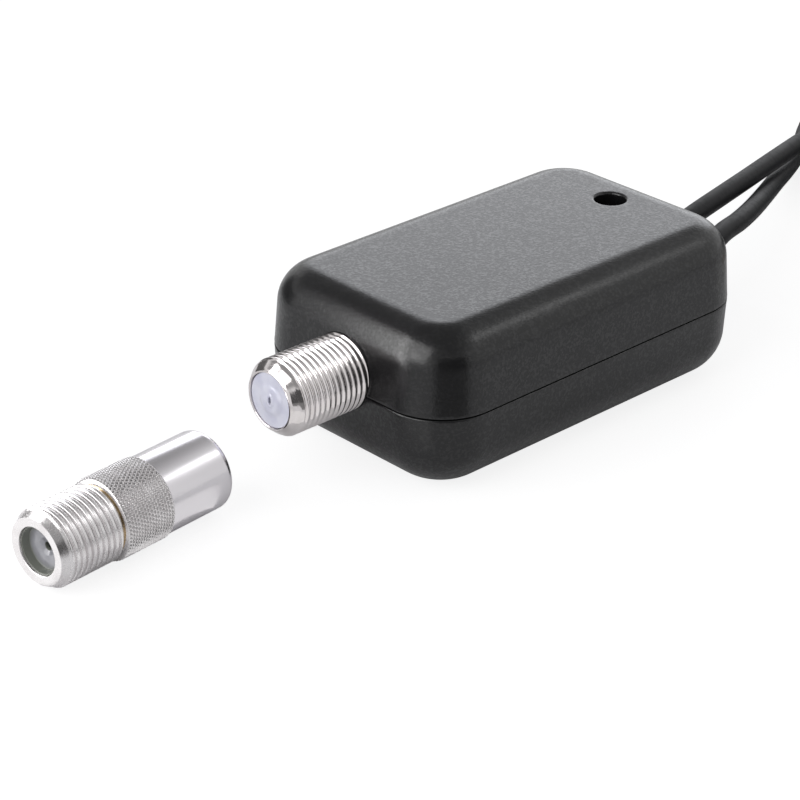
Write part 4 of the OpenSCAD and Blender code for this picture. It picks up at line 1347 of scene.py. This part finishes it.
@dataclass
class PowerPlug:
    """Flat power plug: moulded grip with a strain relief, and a folded steel shell with four windows.

    Fields:
        half: half width and half thickness of the grip.
        waist, hollow: where its side hollows start and end, and their depth.
        shoulder, step: where it gets narrower, and by how much.
    """

    axis: Axis = Axis.level((149.0, 21.6, 3.9))
    grip_from: float = 5.6
    rear_round: float = 1.6
    waist: tuple[float, float] = (9.0, 20.0)
    hollow: float = 0.45
    shoulder: float = 23.0
    front: float = 26.0
    half: tuple[float, float] = (7.8, 3.9)
    step: float = 0.5
    corner: float = 2.0
    shell_half: tuple[float, float] = (6.0, 2.25)
    shell_t: float = 0.3
    shell_from: float = 20.0
    shell_to: float = 38.0
    snug: float = 0.05
    window: float = 2.2
    window_from: float = 30.8
    bar: float = 8.0

    def loft(self, rows: Rows, plan: RoundedPlan) -> Array:
        """Rings strung along the axis, from rows of distance, half width, half thickness and corner radius."""
        along, *sizes = np.array(rows, float).T
        return self.axis.place(along, *np.moveaxis(plan.rings(*sizes), -1, 0))

    @staticmethod
    def inset(half: tuple[float, float], rows: Rows) -> list[list[float]]:
        """Rings for a loft, from rows of distance, how far each lies inside the half sizes, and corner radius."""
        return [[x, half[0] - inside, half[1] - inside, corner] for x, inside, corner in rows]

    def grip(self) -> list[Surface]:
        """Grip with rounded ends and side hollows for the fingers, and its tapered strain relief.

        Returns:
            The two surfaces.
        """
        (w, h), c, s, shoulder, front = self.half, self.corner, self.step, self.shoulder, self.front
        a, (first, last) = np.linspace(0, QUARTER, 6), self.waist
        back, inside = self.rear_round * (1 - np.array([np.cos(a), np.sin(a)]))
        rear = np.column_stack([self.grip_from + back, w - inside, h - inside, np.maximum(c - inside, 0.4)])
        x = np.linspace(first, last, 12)
        dip = self.hollow * np.sin(math.pi * (x - first) / (last - first)) ** 2
        waist = np.column_stack([x, w - dip, np.full(12, h), np.full(12, c)])
        end = self.inset(
            self.half,
            [
                [shoulder - 0.3, 0, c], [shoulder - 0.06, 0.08, c], [shoulder, s, c - s], [shoulder + 0.1, s, c - s],
                [front - 0.3, s, c - s], [front - 0.06, s + 0.1, c - s], [front, s + 0.3, c - s - 0.2],
            ],
        )
        slot = self.inset(self.shell_half, [[front, -self.snug, 0.5], [self.shell_from, -self.snug, 0.5]])
        grid = self.loft(np.vstack([rear, waist, end, slot]), RoundedPlan(24, 12, 8))
        relief = [
            [0, 0, 0], [0, 2.1, 0.3], [1.4, 2.3, 0.1], [1.5, 1.95, 0.1], [2.1, 2.0, 0.1], [2.2, 2.4, 0.1],
            [3.2, 2.55, 0.1], [3.3, 2.2, 0.1], [3.9, 2.25, 0.1], [4.0, 2.7, 0.1], [6.4, 3.0, 0], [6.4, 0, 0],
        ]
        body = Surface.capped(self.axis, grid, ((self.grip_from, 0), (self.shell_from, 0)))
        return [body, Surface.turned(self.axis, relief, 64)]

    def shell(self) -> Surface:
        """Folded sheet: an outer and an inner rounded rectangle joined at both ends.

        Returns:
            A ring-shaped grid.
        """
        first, last, t = self.shell_from, self.shell_to, self.shell_t
        rows = [
            [first, 0, 0.6], [last - 0.2, 0, 0.6], [last - 0.03, 0.06, 0.55], [last, 0.14, 0.5], [last - 0.05, t, 0.35],
            [first, t, 0.35],
        ]
        return Surface(self.loft(self.inset(self.shell_half, rows), RoundedPlan(16, 8, 6)), ring=True)

    def windows(self) -> list[Surface]:
        """Two square bars that cut the four windows through both broad sides.

        Returns:
            One surface for each.
        """
        half, bars = self.window / 2, []
        flat = RoundedPlan(2, 2, 3).rings([half] * 2, [half] * 2, 0.15)
        for side in (-1, 1):
            foot = self.axis.place(self.window_from, side * self.shell_half[0] / 2, -self.bar / 2)
            bar = Axis.upright(tuple(foot))
            rows = bar.place(np.array([0.0, self.bar]), flat[..., 0] + half, flat[..., 1])
            bars.append(Surface.capped(bar, rows, ((0.0, half), (self.bar, half))))
        return bars

    def build(self) -> list[bpy.types.Object]:
        """Builds and dresses the plug.

        Returns:
            The pieces that go with the power lead.
        """
        grip = make_mesh("power_grip_moulded", self.grip(), 45)
        show(grip, PLUG_MOULDING, Body.AMPLIFIER, ["power_grip"])
        shell = make_mesh("power_shell_folded", [self.shell()], 35)
        cut(shell, self.windows(), 35)
        show(shell, SHELL_STEEL, Body.AMPLIFIER, ["power_shell"])
        return [grip, shell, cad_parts["power_tongue"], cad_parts["power_contacts"]]


@dataclass
class Lead:
    """One round lead: out of the housing, down to the floor, through its coil and into its plug.

    Fields:
        side: side of the middle line on which it leaves.
        waypoints: its run to the coil, with X from the end wall.
        centre, start, turns, outer: the coil's middle, first angle in degrees, turns and outer radius.
        tail: its run from the coil to the plug.
        length: its length in metres.
        gap: room between two turns.
        coil_z: height of the coil's lower layer.
    """

    name: str
    side: int
    waypoints: tuple[Point, ...]
    centre: tuple[float, float]
    start: float
    turns: float
    outer: float
    tail: tuple[Point, ...]
    length: float
    nodes: tuple[str, ...]
    radius: float = 1.4
    gap: float = 0.5
    per_turn: int = 24
    coil_z: float = 2.0
    exit_x: float = 27.4
    inside_x: float = 22.1
    lead_y: float = 3.5
    parting: float = 10.3

    def coil(self) -> Array:
        """Spiral in on the lower layer, climb where it reverses, and spiral out on the upper layer.

        Returns:
            Rows of three, with a short straight at both ends.
        """
        t = np.linspace(0, self.turns, math.ceil(self.turns * self.per_turn) + 1)
        step, stub, (x, y) = 2 * self.radius + self.gap, 2 * self.radius, self.centre
        r, a = self.outer - step * np.minimum(t, self.turns - t), np.radians(self.start - 360 * t)
        climb = np.clip(2 * (t - self.turns / 2) + 0.5, 0, 1)
        z = self.coil_z + step * climb**2 * (3 - 2 * climb)
        loops = np.column_stack([x + r * np.cos(a), y + r * np.sin(a), z])
        heading = np.column_stack([np.sin(a), -np.cos(a), np.zeros_like(a)])
        return np.vstack([loops[:1] - stub * heading[:1], loops, loops[-1:] + stub * heading[-1:]])

    def route(self) -> tuple[Array, Array]:
        """The points of the whole lead, as the part's source has them, and the way that the lead goes at each.

        The way is half the step between a point's two neighbours; the straight ends keep their own line.

        Returns:
            Rows of three for the points, and rows of three for the ways.
        """
        inside = [[x, self.side * self.lead_y, self.parting] for x in (self.inside_x, self.exit_x)]
        points = np.vstack([inside, np.array(self.waypoints) + [self.exit_x, 0, 0], self.coil(), self.tail])
        ways = np.gradient(points, axis=0)
        ways[0], ways[1] = points[1] - points[0], [self.waypoints[0][0] / 2, 0, 0]
        ways[-1] = ways[-2] = points[-1] - points[-2]
        return points, ways

    def build(self, pieces: list[bpy.types.Object]) -> bpy.types.Object:
        """Args:
            pieces: what sits on its far end; not used.

        Returns:
            The curve.
        """
        points, ways = self.route()
        before, after = np.diff(points, axis=0, prepend=points[:1]), np.diff(points, axis=0, append=points[-1:])
        unit = ways / np.linalg.norm(ways, axis=1, keepdims=True)
        curve = bpy.data.curves.new(self.name, "CURVE")
        curve.dimensions, curve.resolution_u, curve.use_fill_caps = "3D", 8, True
        curve.bevel_depth, curve.bevel_resolution = self.radius * MM, 7
        spline = curve.splines.new("BEZIER")
        spline.bezier_points.add(len(points) - 1)
        for name, line in (
            ("co", points),
            ("handle_left", points - unit * np.linalg.norm(before, axis=1, keepdims=True) / 3),
            ("handle_right", points + unit * np.linalg.norm(after, axis=1, keepdims=True) / 3),
        ):
            spline.bezier_points.foreach_set(name, (line * MM).astype(np.float32).ravel())
        item = show(add_object(self.name, curve), LEAD_JACKET, Body.AMPLIFIER, self.nodes)
        return item


@dataclass
class CoilTie:
    """Woven strap round all the turns of a coil, with its end lapped over on top.

    Fields:
        angle: where on the coil it lies, in degrees.
        loose, clear: room beside the turns and above them.
        lap, lap_span: how much the lapped end stands up, and its ends as shares of the half width.
    """

    name: str
    node: str
    lead: Lead
    angle: float
    width: float = 5.0
    thickness: float = 0.6
    loose: float = 0.3
    clear: float = 0.05
    corner: float = 1.2
    edge: float = 0.15
    lap: float = 0.35
    lap_span: tuple[float, float] = (-0.2, 0.8)

    def strap(self) -> Surface:
        """A flat band carried round a rounded rectangle that just clears the turns.

        Returns:
            A ring-shaped grid.
        """
        lead, t, w, e = self.lead, self.thickness, self.width / 2, self.edge
        thick, step = 2 * lead.radius, 2 * lead.radius + lead.gap
        inner = lead.outer - step * lead.turns / 2
        half = np.array([lead.outer - inner + thick + self.loose, step + thick + self.clear]) / 2
        band = soften([[0, -w, e], [t, -w, e], [t, w, e], [0, w, e]], closed=True, steps=3)
        out = band[:, 0]
        flat = RoundedPlan(20, 10, 8).rings(half[0] + out, half[1] + out, self.corner + out)
        first, last = half[0] * np.array(self.lap_span)
        on_top = (flat[..., 1] > half[1]) & (flat[..., 0] > first) & (flat[..., 0] < last)
        flat[..., 1] += np.where(on_top & (out > t / 2), self.lap, 0)
        c, s = math.cos(math.radians(self.angle)), math.sin(math.radians(self.angle))
        middle = np.array([*lead.centre, t + half[1]]) + np.array([c, s, 0]) * (lead.outer + inner) / 2
        axis = Axis(tuple(middle), (s, -c, 0), (c, s, 0))
        return Surface(axis.place(band[:, 1], flat[..., 0], flat[..., 1]), ring=True)

    def build(self) -> bpy.types.Object:
        """Builds and dresses the strap."""
        return show(make_mesh(self.name, [self.strap()], 50), TIE_STRAP, Body.AMPLIFIER, [self.node])


OUTPUT_LEAD = Lead(
    name="output_cord", side=1,
    waypoints=(
        (4, 3.5, 10.3), (10.3, 4.3, 10.3), (16.5, 5.9, 10.1), (24.1, 8.2, 9.5), (32.9, 11.1, 8.6), (42.7, 14.6, 7.4),
        (53.3, 18.3, 6.1), (61.5, 20.8, 5.2), (68, 22.4, 4.6), (74.4, 21.6, 3.8), (80.2, 17.6, 2.9), (83.9, 11, 2.2),
    ),
    centre=(96.0, 1.0), start=0.0, turns=2.25, outer=16.2,
    tail=((91, -15.2, 5.6), (86.8, -15.2, 6.7), (84, -15.2, 6.7)),
    length=0.325, nodes=("output_lead", "output_coil", "output_tail"),
)
POWER_LEAD = Lead(
    name="power_cord", side=-1,
    waypoints=(
        (4, -3.5, 10.3), (8.6, -2.7, 10.3), (12.8, -1.1, 10.1), (18.1, 0.9, 9.3), (25.3, 4.4, 7.9), (34.3, 9.4, 5.9),
        (43.2, 14.5, 3.9), (51.2, 18.8, 2.4), (57.8, 22.4, 1.6), (62.9, 25.3, 1.4), (67.1, 27.9, 1.4),
        (71.6, 30.2, 1.4), (77.5, 31, 1.4), (86, 30.8, 1.4), (95.5, 29.4, 1.4), (105, 26.6, 1.5), (112.6, 23.4, 1.7),
    ),
    centre=(135.0, 4.0), start=45.0, turns=3.875, outer=17.6,
    tail=((143, 21.6, 5.0), (146.2, 21.6, 3.9), (149, 21.6, 3.9)),
    length=0.505, nodes=("power_lead", "power_coil", "power_tail"),
)


# Studio


def stand(
    item: bpy.types.Object, bearing: float, rise: float, roll: float, target: Sequence[float], away: float = 0.0
) -> None:
    """Stands a lamp or a camera off from a target and turns it to face the target.

    Args:
        item: the lamp or camera.
        bearing, rise: where it stands, in degrees from +X and above the floor.
        roll: turn about its own line to the target in degrees, left side up.
        target: the place that it faces, in metres.
        away: distance from the target in metres.
    """
    b, e, c = (math.radians(v) for v in (bearing, rise, roll))
    back = np.array([math.cos(b) * math.cos(e), math.sin(b) * math.cos(e), math.sin(e)])
    level = np.array([-math.sin(b), math.cos(b), 0.0])
    side = math.cos(c) * level + math.sin(c) * np.cross(back, level)
    columns = np.column_stack([side, np.cross(back, side), back, np.array(target) + away * back])
    item.matrix_world = Matrix([*columns.tolist(), [0, 0, 0, 1]])


@dataclass(frozen=True)
class Lamp:
    """One soft box that points at the part.

    Fields:
        bearing, rise, away, roll: where it stands, as stand() takes them.
        size: its sides in metres.
        glow: brightness of its face, where 1 is white.
    """

    name: str
    bearing: float
    rise: float
    away: float
    size: tuple[float, float]
    glow: float
    tint: Colour = (1.0, 1.0, 1.0)
    roll: float = 0.0
    target: Point = (-0.01, 0.0, 0.015)

    def build(self) -> None:
        """Adds the lamp; a face of brightness b and area A needs 4 A b watts."""
        data = bpy.data.lights.new(self.name, "AREA")
        data.shape, data.size, data.size_y = "RECTANGLE", *self.size
        data.energy, data.color = 4 * self.glow * self.size[0] * self.size[1], self.tint
        item = add_object(self.name, data)
        stand(item, self.bearing, self.rise, self.roll, self.target, self.away)
        item.visible_camera = False


@dataclass(frozen=True)
class Card:
    """A sheet near the part that only reflections see.

    Fields:
        foot: the place in plan that it fans out from.
        bearings: its first and last direction in degrees from +X.
        profile: pairs of distance from the foot and height.
        glow: its brightness, where 1 is white.
        shares: parts of the glow, evenly spaced along the bearings.
        lean: turn of each pair of the profile in degrees.
    """

    name: str
    foot: tuple[float, float]
    bearings: tuple[float, float]
    profile: tuple[tuple[float, float], ...]
    glow: float
    shares: tuple[float, ...] = (1.0, 1.0)
    lean: tuple[float, ...] = (0.0,)

    def build(self) -> None:
        """A fan: each pair of the profile is carried along the bearings."""
        bearing = np.radians(np.linspace(*self.bearings, 25)[:, None] + self.lean)
        out, up = np.array(self.profile).T
        x, y = self.foot[0] + out * np.cos(bearing), self.foot[1] + out * np.sin(bearing)
        grid = np.stack([x, y, np.broadcast_to(up, x.shape)], -1)
        rows, columns = x.shape
        mesh = bpy.data.meshes.new(self.name)
        mesh.from_pydata(grid.reshape(-1, 3) * MM, [], quads(x.shape, (rows - 1, columns - 1)).tolist())
        share = np.interp(np.linspace(0, 1, rows), np.linspace(0, 1, len(self.shares)), self.shares)
        add_marks(mesh, "light_share", np.repeat(share, columns))
        material, tree = new_material(self.name)
        part = tree.add("ShaderNodeAttribute", attribute_name="light_share")["Fac"]
        light = tree.add("ShaderNodeEmission", {"Color": WHITE, "Strength": tree.math("MULTIPLY", part, self.glow)})
        tree.add("ShaderNodeOutputMaterial", {"Surface": light[0]})
        mesh.materials.append(material)
        item = add_object(self.name, mesh)
        item.visible_camera = item.visible_diffuse = item.visible_transmission = item.visible_shadow = False


@dataclass
class Studio:
    """Camera, floor, surroundings and lamps.

    Fields:
        floor_tone: colour of the floor as the part sees it.
        floor_thin, floor_lift: colour and added light of the floor as the camera sees it.
        soft: brightness of the surroundings as a light.
        horizon, overhead: their brightness in reflections, low down, and high up on the left and on the right.
        right: the direction that counts as right.
        right_span, height_span: where the changes to the right and upward start and end.
    """

    eye: Point = (-206.575, -199.138, 148.057)
    bearing: float = -133.478
    rise: float = 27.552
    roll: float = 0.4597
    lens: float = 115.985
    floor_tone: Colour = (0.85, 0.85, 0.86)
    floor_thin: Colour = (0.27, 0.27, 0.274)
    floor_lift: float = 0.84
    soft: float = 0.48
    horizon: float = 0.76
    overhead: tuple[float, float] = (0.31, 0.88)
    right: Point = (0.866, -0.5, 0.0)
    right_span: tuple[float, float] = (0.25, 0.85)
    height_span: tuple[float, float] = (0.44, 0.6)
    lamps: tuple[Lamp, ...] = (
        Lamp("back_panel", 38.0, 18.0, 0.95, (0.76, 0.48), 0.99, (0.965, 0.985, 1.04), 24.0),
        Lamp("left_box", 173.0, 31.0, 0.75, (0.64, 0.64), 2.0),
        Lamp("right_box", -31.0, 44.0, 0.8, (0.22, 0.16), 1.0),
    )
    cards: tuple[Card, ...] = (
        Card("dark_floor", (-24.0, -14.0), (-146.0, -84.0), ((25.0, 0.3), (80.0, 0.3), (150.0, 0.3)), 0.2),
        Card("dark_stand", (-24.0, -14.0), (-145.0, -84.0), ((150.0, 0.3), (150.0, 50.0), (150.0, 95.0)), 0.08),
        Card(
            "left_sheet", (-26.5, 0.0), (136.5, 168.0), ((62.0, 6.0), (62.0, 34.0), (62.0, 62.0), (62.0, 88.0)), 7.6,
            (0.0, 0.65, 0.85, 0.7, 0.5, 0.32), (6.0, 1.0, -9.0, -20.0),
        ),
        Card("dark_back", (-50.0, 0.0), (72.0, 118.0), ((150.0, 0.3), (150.0, 40.0), (150.0, 75.0)), 0.12),
        Card("white_floor", (-71.0, 0.5), (95.0, 190.0), ((1.0, 0.3), (12.0, 0.3), (26.0, 0.3)), 1.1),
        Card("white_front", (-52.0, 6.0), (-125.0, -52.0), ((9.0, 0.2), (18.0, 0.2), (30.0, 0.2)), 0.82),
    )

    def camera(self) -> None:
        """Adds the photograph's camera."""
        data = bpy.data.cameras.new("camera")
        data.sensor_width, data.lens, data.clip_start, data.clip_end = 36.0, self.lens, 0.01, 20.0
        item = add_object("camera", data)
        stand(item, self.bearing, self.rise, self.roll, np.array(self.eye) * MM)
        bpy.context.scene.camera = item

    def floor(self) -> None:
        """Plain pale floor that stays white to the camera and keeps a soft shadow."""
        reach, z = 4.0, -0.00003
        corners = [(-reach, -reach, z), (reach, -reach, z), (reach, reach, z), (-reach, reach, z)]
        mesh = bpy.data.meshes.new("floor")
        mesh.from_pydata(corners, [], [(0, 1, 2, 3)])
        material, tree = new_material("floor_white")
        matt, thin = (
            tree.add("ShaderNodeBsdfDiffuse", {"Color": (*tone, 1)})[0] for tone in (self.floor_tone, self.floor_thin)
        )
        lift = tree.add("ShaderNodeEmission", {"Color": WHITE, "Strength": self.floor_lift})[0]
        seen = tree.add("ShaderNodeAddShader", {0: thin, 1: lift})[0]
        to_camera = tree.add("ShaderNodeLightPath")["Is Camera Ray"]
        pick = tree.add("ShaderNodeMixShader", {0: to_camera, 1: matt, 2: seen})[0]
        tree.add("ShaderNodeOutputMaterial", {"Surface": pick})
        mesh.materials.append(material)
        add_object("floor", mesh)

    def surroundings(self) -> None:
        """White to the camera; in reflections pale near the horizon and dark overhead, but not on the right."""
        world = bpy.data.worlds.new("studio")
        bpy.context.scene.world = world
        world.use_nodes = True
        tree = Tree.of(world.node_tree)
        way, path = tree.add("ShaderNodeTexCoord")["Generated"], tree.add("ShaderNodeLightPath")
        side = tree.add("ShaderNodeVectorMath", {0: way, 1: self.right}, operation="DOT_PRODUCT")["Value"]
        over = tree.ramp(side, *self.right_span, self.overhead)
        height = tree.add("ShaderNodeSeparateXYZ", {0: way})["Z"]
        mirrored = tree.ramp(height, *self.height_span, (self.horizon, over))
        soft, mirror, white = (
            tree.add("ShaderNodeBackground", {"Color": WHITE, "Strength": strength})[0]
            for strength in (self.soft, mirrored, 1.0)
        )
        light = tree.add("ShaderNodeMixShader", {0: path["Is Glossy Ray"], 1: soft, 2: mirror})[0]
        seen = tree.add("ShaderNodeMixShader", {0: path["Is Camera Ray"], 1: light, 2: white})[0]
        tree.add("ShaderNodeOutputWorld", {"Surface": seen})
        bpy.context.scene.view_settings.view_transform = "Standard"

    def build(self) -> None:
        """Sets up the whole studio, camera first."""
        self.camera()
        self.floor()
        self.surroundings()
        for piece in (*self.lamps, *self.cards):
            piece.build()


def main() -> None:
    """Builds the studio, the leads with what sits on them, and then the rest of the part."""
    logging.basicConfig(level=logging.INFO, format="%(name)s: %(message)s")
    Studio().build()
    OUTPUT_LEAD.build(OutputPlug().build())
    POWER_LEAD.build(PowerPlug().build())
    CoilTie("output_strap", "output_tie", OUTPUT_LEAD, 135.0).build()
    CoilTie("power_strap", "power_tie", POWER_LEAD, 225.0).build()
    Housing().build()
    InputJack().build()
    Adapter().build()
    dress_solids()


if __name__ == "__main__":
    main()
